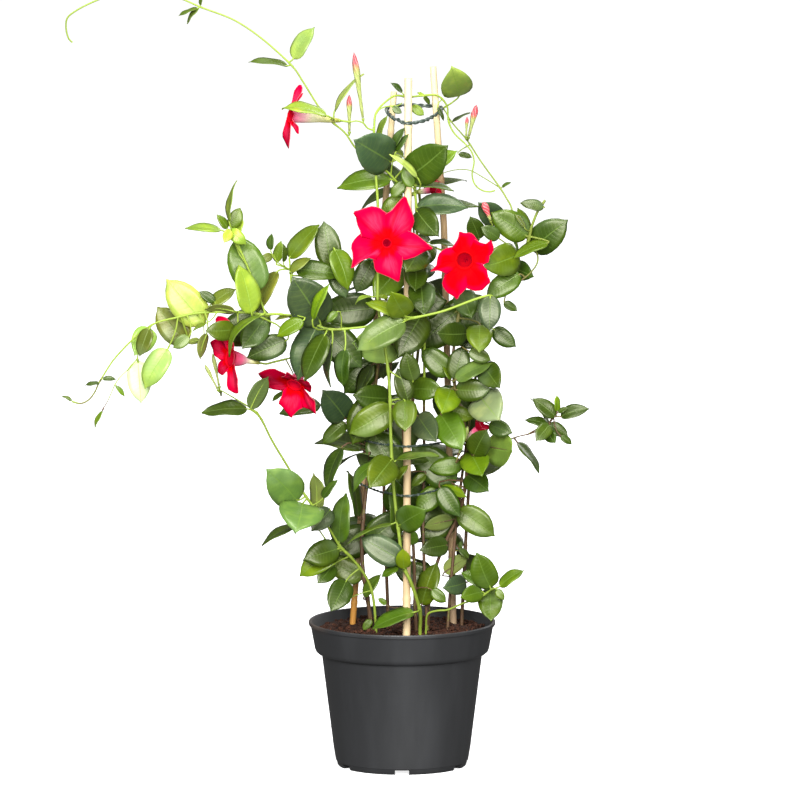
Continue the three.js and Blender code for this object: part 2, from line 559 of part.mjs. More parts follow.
    leaves: [[526, 236, 491, 213, 28], [527, 236, 518, 208, 12], [518, 255, 484, 267, 32],
      [513, 268, 532, 277, 20], [547, 243, 513, 258, 11], [532, 249, 567, 221, 31],
      [543, 208, 520, 203, 11], [498, 238, 481, 227, 14, '', 6],
      [499, 222, 479, 204, 24, '', 24], [524, 228, 515, 214, 5], [491, 311, 437, 315, 36],
      [445, 572, 468, 556, 16, 'u', -14], [466, 583, 444, 588, 20, '', -24],
      [460, 549, 469, 559, 6, '', -24]] },
    { radius: 1, route: [[518, 256, -20], [513, 225, -18], [511, 207, -14], [507, 200, -10],
      [500, 188, 0], [481, 162, 4], [467, 141, 8], [455, 127, 9], [450, 120, 12], [446, 113, 15],
      [443, 108, 17]],
    leaves: [[459, 96, 452, 70, 32], [459, 155, 472, 157.5, 6]] },
    { radius: 0.9, route: [[529, 241, -28], [537, 255, -34], [537, 263, -36], [531, 272, -38],
      [520, 281, -40], [510, 288, -42], [505, 297, -44], [504, 302, -44]],
    leaves: [[519, 275, 485, 298, 22], [504, 303, 517, 311, 8]] },
    { radius: 0.6, route: [[500, 188, 0], [483, 178, -2], [470, 171, -2], [460, 170, -2],
      [445, 172.5, -2], [439, 176, -4]] },
  ] },
  shoot_low_right: { colour: COLOURS.leaf, axes: [
    { radius: 1.2, foot: [426, -26], route: [[428, 614, -32], [438, 611, -36], [447, 610, -38],
      [462, 604, -42], [480, 597, -46], [491, 590, -48], [497, 588, -48]],
    leaves: [[482, 592, 461, 597, 18], [490, 587, 477, 553, 26], [492, 587, 461, 572, 15],
      [491, 590, 491, 620, 25], [500, 586, 524, 570, 12], [497, 590, 504, 600, 8]] },
  ] },
  stem_back_left: { colour: COLOURS.wood, axes: [
    { radius: 1.9, foot: [388, 44], route: [[386, 560, 42], [384, 480, 33], [388, 400, 29],
      [394, 320, 32], [399, 240, 26], [402, 186, 20]],
    fill: { from: 0.24, to: 1, pairs: 5, aim: 112 },
    leaves: [[372, 535, 325, 552, 33], [391, 398, 415, 447, 35], [390, 510, 428, 470, 37]] },
  ] },
  stem_back_mid: { colour: COLOURS.wood, axes: [
    { radius: 1.9, foot: [406, 44], route: [[406, 560, 40], [407, 480, 31], [413, 400, 29],
      [421, 320, 30], [424, 250, 30], [419, 190, 24]],
    fill: { from: 0.2, to: 1, pairs: 5, aim: 84 },
    leaves: [[440, 390, 473, 434, 35]] },
  ] },
};

// A bloom: the middle of its mouth on the sheet, the way it faces, the length of its tube, and its
// five lobes, each as a tip's angle, reach and bend forward in degrees, and the angle and reach of
// the notch before it. Then the stem and the place it grows from.
const BLOOMS = {
  bloom_1: { at: [387, 243.7, -74], faces: [0.05, -0.97, 0.2], tube: 26, stem: 'shoot_runner',
    from: [377.7, 264, -49.6], lobes: [[69, 51, 0, 22, 24], [138, 46, 0, 89, 29],
      [215, 44.5, 0, 160, 26.6], [287, 41, 0, 231, 20.6], [352, 47, 0, 313, 20.5]] },
  bloom_2: { at: [464, 261, -62], faces: [-0.1, -0.97, 0.15], tube: 26, stem: 'shoot_upper_mid',
    from: [417.5, 240, -35.7], lobes: [[101, 29.8, 0, 59, 24], [197, 37, 0, 132, 17.8],
      [260, 40.6, 0, 213, 22.4], [322, 34.5, 0, 273, 26], [398, 34.5, 0, 346, 18]] },
  bloom_3: { at: [290, 117, -66], faces: [-0.9, -0.42, 0.15], tube: 54, stem: 'shoot_runner',
    from: [351, 122.5, -44], lobes: [[12, 10, 0, 330, 8], [82, 34, -12, 58, 9],
      [103, 31, -38, 94, 10], [272, 33.5, 0, 212, 9], [304, 23, -20, 290, 9]] },
  bloom_4: { at: [230, 358, -90], faces: [-0.82, -0.52, 0.22], tube: 34, stem: 'shoot_arm',
    from: [286, 359.5, -58], lobes: [[20, 15, 55, 325, 11], [112, 46, 18, 66, 14],
      [155, 34, 16, 122, 15], [215, 26, 0, 185, 14], [298, 40, 0, 262, 13]] },
  bloom_5: { at: [294, 386, -64], faces: [-0.35, -0.72, -0.6], tube: 34, stem: 'shoot_arm',
    from: [305, 351, -64], lobes: [[24, 28, 20, 346, 20], [84, 24, 20, 54, 16],
      [143, 38, 10, 104, 19], [254, 35, 35, 200, 14], [308, 37, 30, 280, 25]] },
  bloom_6: { at: [433, 190, -6], faces: [0.93, -0.3, 0.2], tube: 16, stem: 'shoot_upper_mid',
    from: [413.6, 195, -36], lobes: [[40, 14, 48, 10, 8], [112, 13, 48, 78, 8],
      [184, 13, 48, 148, 8], [256, 14, 48, 222, 8], [328, 14, 48, 292, 8]] },
  bloom_7: { at: [479, 427, -28], faces: [0.68, -0.25, 0.7], tube: 20, stem: 'stem_right',
    from: [467, 447, -13], lobes: [[40, 13, 50, 10, 8], [112, 13, 50, 78, 8],
      [184, 13, 50, 148, 8], [256, 13, 50, 222, 8], [328, 13, 50, 292, 8]] },
};

// A bud: its foot and tip on the sheet, its depth, its radius, and the stem and place it grows from.
const BUDS = {
  bud_1: { foot: [363, 119], tip: [354, 53], back: -42, radius: 3.4, stem: 'shoot_runner',
    from: [363, 124, -42] },
  bud_2: { foot: [349.5, 132], tip: [349.4, 95.5], back: -34, radius: 2.8, stem: 'shoot_left_high',
    from: [347, 137, -35.6] },
  bud_3: { foot: [468.6, 137], tip: [476.5, 105], back: 4, radius: 3.2, stem: 'stem_right_back',
    from: [467, 141, 8] },
  bud_4: { foot: [466, 136], tip: [467, 117], back: -4, radius: 1.8, stem: 'stem_right_back',
    from: [467, 141, 8] },
  bud_5: { foot: [490.5, 221], tip: [483, 202], back: -26, radius: 3.6, stem: 'stem_right_back',
    from: [512.7, 223, -17.8] },
  bud_6: { foot: [459, 453], tip: [468, 426], back: -38, radius: 2.6, stem: 'stem_right',
    from: [467.8, 452, -12.2] },
  bud_7: { foot: [218, 389], tip: [205, 364], back: -62, radius: 1.9, stem: 'shoot_low_left',
    from: [222, 391, -76] },
  bud_8: { foot: [219.5, 386], tip: [213, 353], back: -58, radius: 2.1, stem: 'shoot_low_left',
    from: [223, 391.6, -76] },
};

// Places that a blade may take to lie clear: millimetres toward the front, and degrees of swing.
const SHIFTS = [0, 6, -6, 12, -12, 18, -18, 26, -26, 36, -36];
const SWINGS = [0, 10, -10, 20, -20, 32, -32];
const ROOT_STEPS = [0, -4, 4, -8, 8, -13, 13];

const placedParts = [];

function remember(node, solid, kind = '') {
  const { min, max } = solid.boundingBox();
  placedParts.push({ node, solid, kind, min, max });
}

function meets(solid, allowed) {
  const { min, max } = solid.boundingBox();
  return placedParts.some((part) => {
    if (allowed(part)) return false;
    for (let i = 0; i < 3; i += 1) {
      if (part.max[i] < min[i] || part.min[i] > max[i]) return false;
    }
    return !solid.intersect(part.solid).isEmpty();
  });
}

function axisPoints(axis) {
  const points = axis.route.map(([across, down, back]) => onSheet(across, down, back));
  if (axis.foot) {
    const [across, back] = axis.foot;
    points.unshift(point(across - POT_ACROSS, back, SOIL_TOP), point(across - POT_ACROSS, back, SOIL_TOP));
    points[0].z -= FOOT_DEPTH;
    points[1].z += 4;
  }
  return points;
}

function sidesFor(radius) {
  return radius > 3 ? 4 : 3;
}

// Places along straight runs between corners, a step apart.
function placesAlong(corners, step) {
  return corners.slice(1).flatMap((corner, i) => {
    const count = Math.ceil(corner.distanceTo(corners[i]) / step);
    return Array.from({ length: count }, (_, k) => corners[i].clone().lerp(corner, (k + 0.5) / count));
  });
}

function nearestOf(runs, place) {
  const places = runs.flatMap((corners) => placesAlong(corners, PLACE_STEP));
  return places.reduce((best, each) => (each.distanceTo(place) < best.distanceTo(place) ? each : best));
}

// The corners of each axis of a stem. An axis that stands in the soil is straight up to its
// surface, and any other starts on the axes before it.
function stemRuns({ axes }) {
  const runs = [];
  for (const axis of axes) {
    const points = axisPoints(axis);
    if (axis.foot) runs.push([points[0], ...cornersOf(points.slice(1))]);
    else runs.push(cornersOf([nearestOf(runs, points[0]), ...points.slice(1)]));
  }
  return runs;
}

// The places on an axis where a leaf's stalk may start: the one nearest to a little behind the
// blade's base, as the sheet shows it, and then others along the stem.
function rootsOnRun(corners, base, along) {
  const start = base.clone().addScaledVector(along, -3);
  const places = placesAlong(corners, PLACE_STEP);
  const seen = places.map((place) => {
    const offset = place.clone().sub(start);
    return Math.hypot(offset.dot(RIGHT), offset.dot(UP));
  });
  const distance = Math.min(...seen);
  const nearest = seen.indexOf(distance);
  const roots = ROOT_STEPS.map((step) => places[nearest + step]).filter(Boolean);
  return { roots, distance };
}

function swung(frame, shift, swing) {
  const turn = new THREE.Quaternion().setFromAxisAngle(TOWARD, THREE.MathUtils.degToRad(swing));
  return {
    ...frame,
    base: frame.base.clone().addScaledVector(TOWARD, shift),
    axis: frame.axis.clone().applyQuaternion(turn),
    side: frame.side.clone().applyQuaternion(turn),
    upper: frame.upper.clone().applyQuaternion(turn),
  };
}

// Tries the places in turn: first with blade and stalk clear of all but the stalk's own stem, then
// with only the blade so, and then clear of the other nodes.
function clearLeaf(node, frame, roots) {
  const none = () => false;
  const ownStem = (part) => part.node === node && part.kind === 'stem';
  const own = (part) => part.node === node;
  for (const [bladeMay, stalkMay] of [[none, ownStem], [none, own], [own, own]]) {
    for (const swing of SWINGS) {
      for (const shift of SHIFTS) {
        const tried = swung(frame, shift, swing);
        if (meets(leafSolid(tried, null, CLEARANCE), bladeMay)) continue;
        const root = roots.find((each) => !meets(leafSolid(tried, each, CLEARANCE), stalkMay));
        if (root) return leafSolid(tried, root);
      }
    }
  }
  return null;
}

// The far-side pairs of an axis, by a rule: each pair of blades stands opposite, a quarter turn on
// from the last, round the way that the axis aims.
function fillFrames({ from, to, pairs, aim }, corners) {
  const frames = [];
  const wave = ([middle, swing, pace], at) => middle + swing * Math.sin(at(pace));
  const places = placesAlong(corners, PLACE_STEP);
  for (let i = 0; i < pairs; i += 1) {
    const root = places[Math.round((places.length - 1) * (from + ((to - from) * i) / (pairs - 1)))];
    for (const side of [-1, 1]) {
      const heading = THREE.MathUtils.degToRad(aim + side * wave(FILL_SPREAD, (pace) => pace * i));
      const droop = wave(FILL_DROOP, (pace) => pace * i + side);
      const axisWay = point(Math.cos(heading), Math.sin(heading), droop).normalize();
      const [roll, rollPace] = FILL_ROLL;
      const sideWay = point(Math.sin(heading), -Math.cos(heading), roll * Math.sin(rollPace * i + 2 * side));
      const length = wave(FILL_LENGTH, (pace) => pace * i + side);
      const upper = sideWay.clone().cross(axisWay).normalize();
      frames.push({ root, frame: {
        base: root.clone().addScaledVector(axisWay, wave(FILL_STALK, (pace) => pace * i)),
        axis: axisWay,
        side: axisWay.clone().cross(upper).normalize(),
        upper,
        length,
        width: length * FILL_WIDTH,
        arch: FILL_ARCH,
      } });
    }
  }
  return frames;
}

function bloomBase(bloom) {
  const faces = point(...bloom.faces).normalize();
  return onSheet(...bloom.at).addScaledVector(faces, -bloom.tube);
}

// The outline of a bloom round its mouth: for each lobe the notch, a round shoulder and the tip.
function bloomOutline(lobes) {
  return lobes.flatMap(([tip, reach, bend, notch, depth]) => {
    const shoulder = notch + SHOULDER_AT * (((tip - notch) % 360) + (tip < notch ? 360 : 0));
    return [[notch, depth, bend], [shoulder, SHOULDER_REACH * reach, bend], [tip, reach, bend]];
  });
}

// A funnel with a thin limb cut into lobes, as one closed skin of rings.
function bloomSolid(bloom) {
  const faces = point(...bloom.faces).normalize();
  const outline = bloomOutline(bloom.lobes);
  const largest = Math.max(...bloom.lobes.map(([, reach]) => reach));
  const flare = THROAT * largest;
  const level = mix([UP, 1], [faces, -UP.dot(faces)]).normalize();
  const right = level.clone().cross(faces).normalize();
  const mouth = onSheet(...bloom.at);
  const out = (angle) => mix([right, Math.cos(angle)], [level, Math.sin(angle)]);
  const round = (radius, forward) => outline.map(([degrees]) => mix([mouth, 1],
    [out(THREE.MathUtils.degToRad(degrees)), radius], [faces, forward]));
  const edge = outline.map(([degrees, reach, bend]) => {
    const tilt = THREE.MathUtils.degToRad(bend);
    const wide = flare + (reach - flare) * Math.cos(tilt);
    return mix([mouth, 1], [out(THREE.MathUtils.degToRad(degrees)), wide],
      [faces, (reach - flare) * Math.sin(tilt)]);
  });
  const waist = Math.max(LEAST_WAIST, WAIST * bloom.tube);
  const rings = [round(TUBE_FOOT, -bloom.tube), round(waist, -0.5 * bloom.tube),
    round(flare + LIMB_BACK[0], LIMB_BACK[1]), edge, round(flare + LIMB_FACE[0], LIMB_FACE[1])];
  const corners = [...rings.flat(), mix([mouth, 1], [faces, -bloom.tube]),
    mix([mouth, 1], [faces, -THROAT_DEPTH * bloom.tube])];
  const count = outline.length;
  const faceList = [];
  for (let k = 0; k < count; k += 1) {
    const next = (k + 1) % count;
    faceList.push(corners.length - 2, next, k);
    for (let i = 0; i + 1 < rings.length; i += 1) {
      const [a, b] = [i * count + k, i * count + next];
      faceList.push(a, b, b + count, a, b + count, a + count);
    }
    faceList.push(corners.length - 1, (rings.length - 1) * count + k, (rings.length - 1) * count + next);
  }
  return solidFrom(corners, faceList);
}

// A flower stalk curves from its stem to the foot of a bloom or bud, and ends in a small calyx.
function stalkSolid(from, base, direction, radius) {
  const end = base.clone().addScaledVector(direction, -SEAT_GAP);
  const neck = end.clone().addScaledVector(direction, -CALYX_HEIGHT);
  const back = end.clone().addScaledVector(direction, -STALK_LEAD);
  const middle = from.clone().lerp(back, 0.6);
  const near = from.distanceTo(neck) < SHORT_STALK;
  const route = near ? [from, neck] : cornersOf([from, middle, back, neck]);
  const stalk = sweep(route, radius, FLOWER_STALK_SIDES);
  const wide = radius + CALYX_FLARE;
  const cup = [[0, -1], [radius, -1], [wide, CALYX_HEIGHT], [0, CALYX_HEIGHT]];
  const calyx = placed(cup, BUD_SIDES, neck, direction);
  return stalk.add(calyx);
}

function budEnds(bud) {
  const foot = onSheet(bud.foot[0], bud.foot[1], bud.back);
  const tip = onSheet(bud.tip[0], bud.tip[1], bud.back);
  return { foot, tip, direction: tip.clone().sub(foot).normalize() };
}

function budSolid(bud) {
  const { foot, tip, direction } = budEnds(bud);
  const length = foot.distanceTo(tip);
  const { radius } = bud;
  const side = BUD_PROFILE.map(([wide, high]) => [wide * radius, high * length]);
  return placed([[0, 0], [BUD_FOOT, 0], ...side, [0, length]], BUD_SIDES, foot, direction);
}

function soilSolid(feet) {
  const gap = SEAT_GAP;
  let soil = turned([[0, FLOOR_TOP + gap], [65 - gap, FLOOR_TOP + gap], [78.7 - gap, 113.2],
    [85.8 - gap, 119.9], [88.5, SOIL_TOP - 2], [0, SOIL_TOP]], POT_SIDES);
  for (const { from, to, radius } of feet) soil = soil.subtract(rod(from, to, radius, HOLE_SIDES));
  return soil;
}

// ---------------------------------------------------------------- assembly

const RUNS = Object.fromEntries(Object.entries(STEMS).map(([name, stem]) => [name, stemRuns(stem)]));

const solids = new Map();
const colours = new Map();

function keep(name, solid, colour) {
  solids.set(name, solid);
  colours.set(name, colour);
}

function buildFrame() {
  keep('pot', potSolid(), COLOURS.pot);
  const feet = [];
  for (const name of Object.keys(CANES)) {
    keep(name, caneSolid(name), COLOURS.cane);
    const [end, next] = canePoints(CANES[name]);
    const way = next.clone().sub(end).normalize();
    const top = end.clone().addScaledVector(way, CANES[name].down + HOLE_ABOVE);
    const bottom = end.clone().addScaledVector(way, -SEAT_GAP);
    feet.push({ from: bottom, to: top, radius: HOLE_EASE * (CANES[name].radius + CLEARANCE) });
  }
  for (const { axes } of Object.values(STEMS)) {
    for (const axis of axes.filter((each) => each.foot)) {
      const end = axisPoints(axis)[0];
      const from = end.clone().setZ(end.z - SEAT_GAP);
      const radius = HOLE_EASE * (axis.radius + CLEARANCE + 0.1);
      feet.push({ from, to: end.clone().setZ(SOIL_TOP + HOLE_ABOVE), radius });
    }
  }
  keep('soil', soilSolid(feet), COLOURS.soil);
  for (const [name, ring] of Object.entries(RINGS)) {
    keep(name, sweep(ringPoints(ring), WIRE_RADIUS, WIRE_SIDES), COLOURS.wire);
  }
  for (const [name, solid] of solids) remember(name, solid);
}

function buildStems() {
  const parts = new Map();
  for (const [name, { axes }] of Object.entries(STEMS)) {
    parts.set(name, RUNS[name].map((run, i) => sweep(run, axes[i].radius, sidesFor(axes[i].radius))));
  }
  for (const bloom of Object.values(BLOOMS)) {
    const faces = point(...bloom.faces).normalize();
    const from = nearestOf(RUNS[bloom.stem], onSheet(...bloom.from));
    parts.get(bloom.stem).push(stalkSolid(from, bloomBase(bloom), faces, BLOOM_STALK));
  }
  for (const bud of Object.values(BUDS)) {
    const { foot, direction } = budEnds(bud);
    const from = nearestOf(RUNS[bud.stem], onSheet(...bud.from));
    parts.get(bud.stem).push(stalkSolid(from, foot, direction, BUD_STALK));
  }
  for (const [name, pieces] of parts) for (const piece of pieces) remember(name, piece, 'stem');
  return parts;
}

function buildLeaves(parts) {
  const crowded = [];
  for (const [name, { axes }] of Object.entries(STEMS)) {
    for (const [i, { leaves = [] }] of axes.entries()) {
      for (const row of leaves) {
        const rough = sheetBlade(row, 0);
        const { roots, distance } = rootsOnRun(RUNS[name][i], rough.base, rough.axis);
        const depth = roots[0].y - 0.4 * Math.min(distance, 20) + (row[6] ?? 0);
        const leaf = clearLeaf(name, sheetBlade(row, depth), roots);
        if (!leaf) {
          crowded.push(`${row} of ${name}`);
          continue;
        }
        remember(name, leaf);
        parts.get(name).push(leaf);
      }
    }
  }
  if (crowded.length) throw new Error(`no clear place for these leaves: ${crowded.join('; ')}`);
  for (const [name, { axes }] of Object.entries(STEMS)) {
    for (const [i, { fill }] of axes.entries()) {
      for (const { frame, root } of fill ? fillFrames(fill, RUNS[name][i]) : []) {
        const leaf = clearLeaf(name, frame, [root]);
        if (!leaf) continue;
        remember(name, leaf);
        parts.get(name).push(leaf);
      }
    }
  }
}

// The union of the pieces of a stem, without the specks that grazing faces can leave.
function joined(pieces) {
  const whole = pieces.reduce((sum, piece) => sum.add(piece));
  return whole.decompose().find((body) => body.volume() > whole.volume() / 2);
}

buildFrame();
for (const [name, bloom] of Object.entries(BLOOMS)) keep(name, bloomSolid(bloom), COLOURS.bloom);
for (const [name, bud] of Object.entries(BUDS)) keep(name, budSolid(bud), COLOURS.bud);
for (const name of [...Object.keys(BLOOMS), ...Object.keys(BUDS)]) remember(name, solids.get(name));
const stemParts = buildStems();
buildLeaves(stemParts);
for (const [name, pieces] of stemParts) keep(name, joined(pieces), STEMS[name].colour);

const plant = new THREE.Group();
for (const [name, solid] of solids) {
  const material = new THREE.MeshStandardMaterial({ color: colours.get(name), roughness: 0.6, metalness: 0 });
  const mesh = new THREE.Mesh(geometryOf(solid), material);
  mesh.name = name;
  plant.add(mesh);
}

export default plant;
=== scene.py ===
"""Looks for a climbing mandevilla in a nursery pot, built around its CAD model."""

import functools
import math
import random

import bmesh
import bpy
from mathutils import Matrix, Vector, kdtree, noise


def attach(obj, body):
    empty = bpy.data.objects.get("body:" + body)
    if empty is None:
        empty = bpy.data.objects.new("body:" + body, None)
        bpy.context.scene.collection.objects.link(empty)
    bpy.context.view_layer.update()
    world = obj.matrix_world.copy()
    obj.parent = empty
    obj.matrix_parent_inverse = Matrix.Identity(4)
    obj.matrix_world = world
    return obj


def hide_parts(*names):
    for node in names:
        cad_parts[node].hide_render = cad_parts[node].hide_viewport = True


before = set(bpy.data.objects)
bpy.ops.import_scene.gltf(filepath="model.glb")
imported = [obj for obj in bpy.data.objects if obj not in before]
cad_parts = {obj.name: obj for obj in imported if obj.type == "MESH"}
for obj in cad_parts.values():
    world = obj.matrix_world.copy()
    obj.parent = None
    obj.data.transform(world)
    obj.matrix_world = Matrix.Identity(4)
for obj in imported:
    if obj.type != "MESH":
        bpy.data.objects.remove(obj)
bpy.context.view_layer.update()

bl_info = {
    "name": "Potted climber",
    "version": (1, 0, 0),
    "blender": (4, 5, 0),
    "location": "View3D > Sidebar > Climber",
    "description": "A climbing mandevilla on bamboo canes in a nursery pot",
    "category": "Object",
}

MM = 0.001
PLANT_SEED = 7
TILT = math.radians(9)
RIGHT = Vector((1, 0, 0))
UP = Vector((0, math.sin(TILT), math.cos(TILT)))
TOWARD = Vector((0, -math.cos(TILT), math.sin(TILT)))
SHEET_ACROSS = 402
SHEET_DOWN = 765
FULL_TURN = 2 * math.pi

# In millimetres: the top of the soil, how deep a stem stands in it, and how far it rises upright.
SOIL_TOP = 137
FOOT_DEPTH = 22
FOOT_RISE = 4

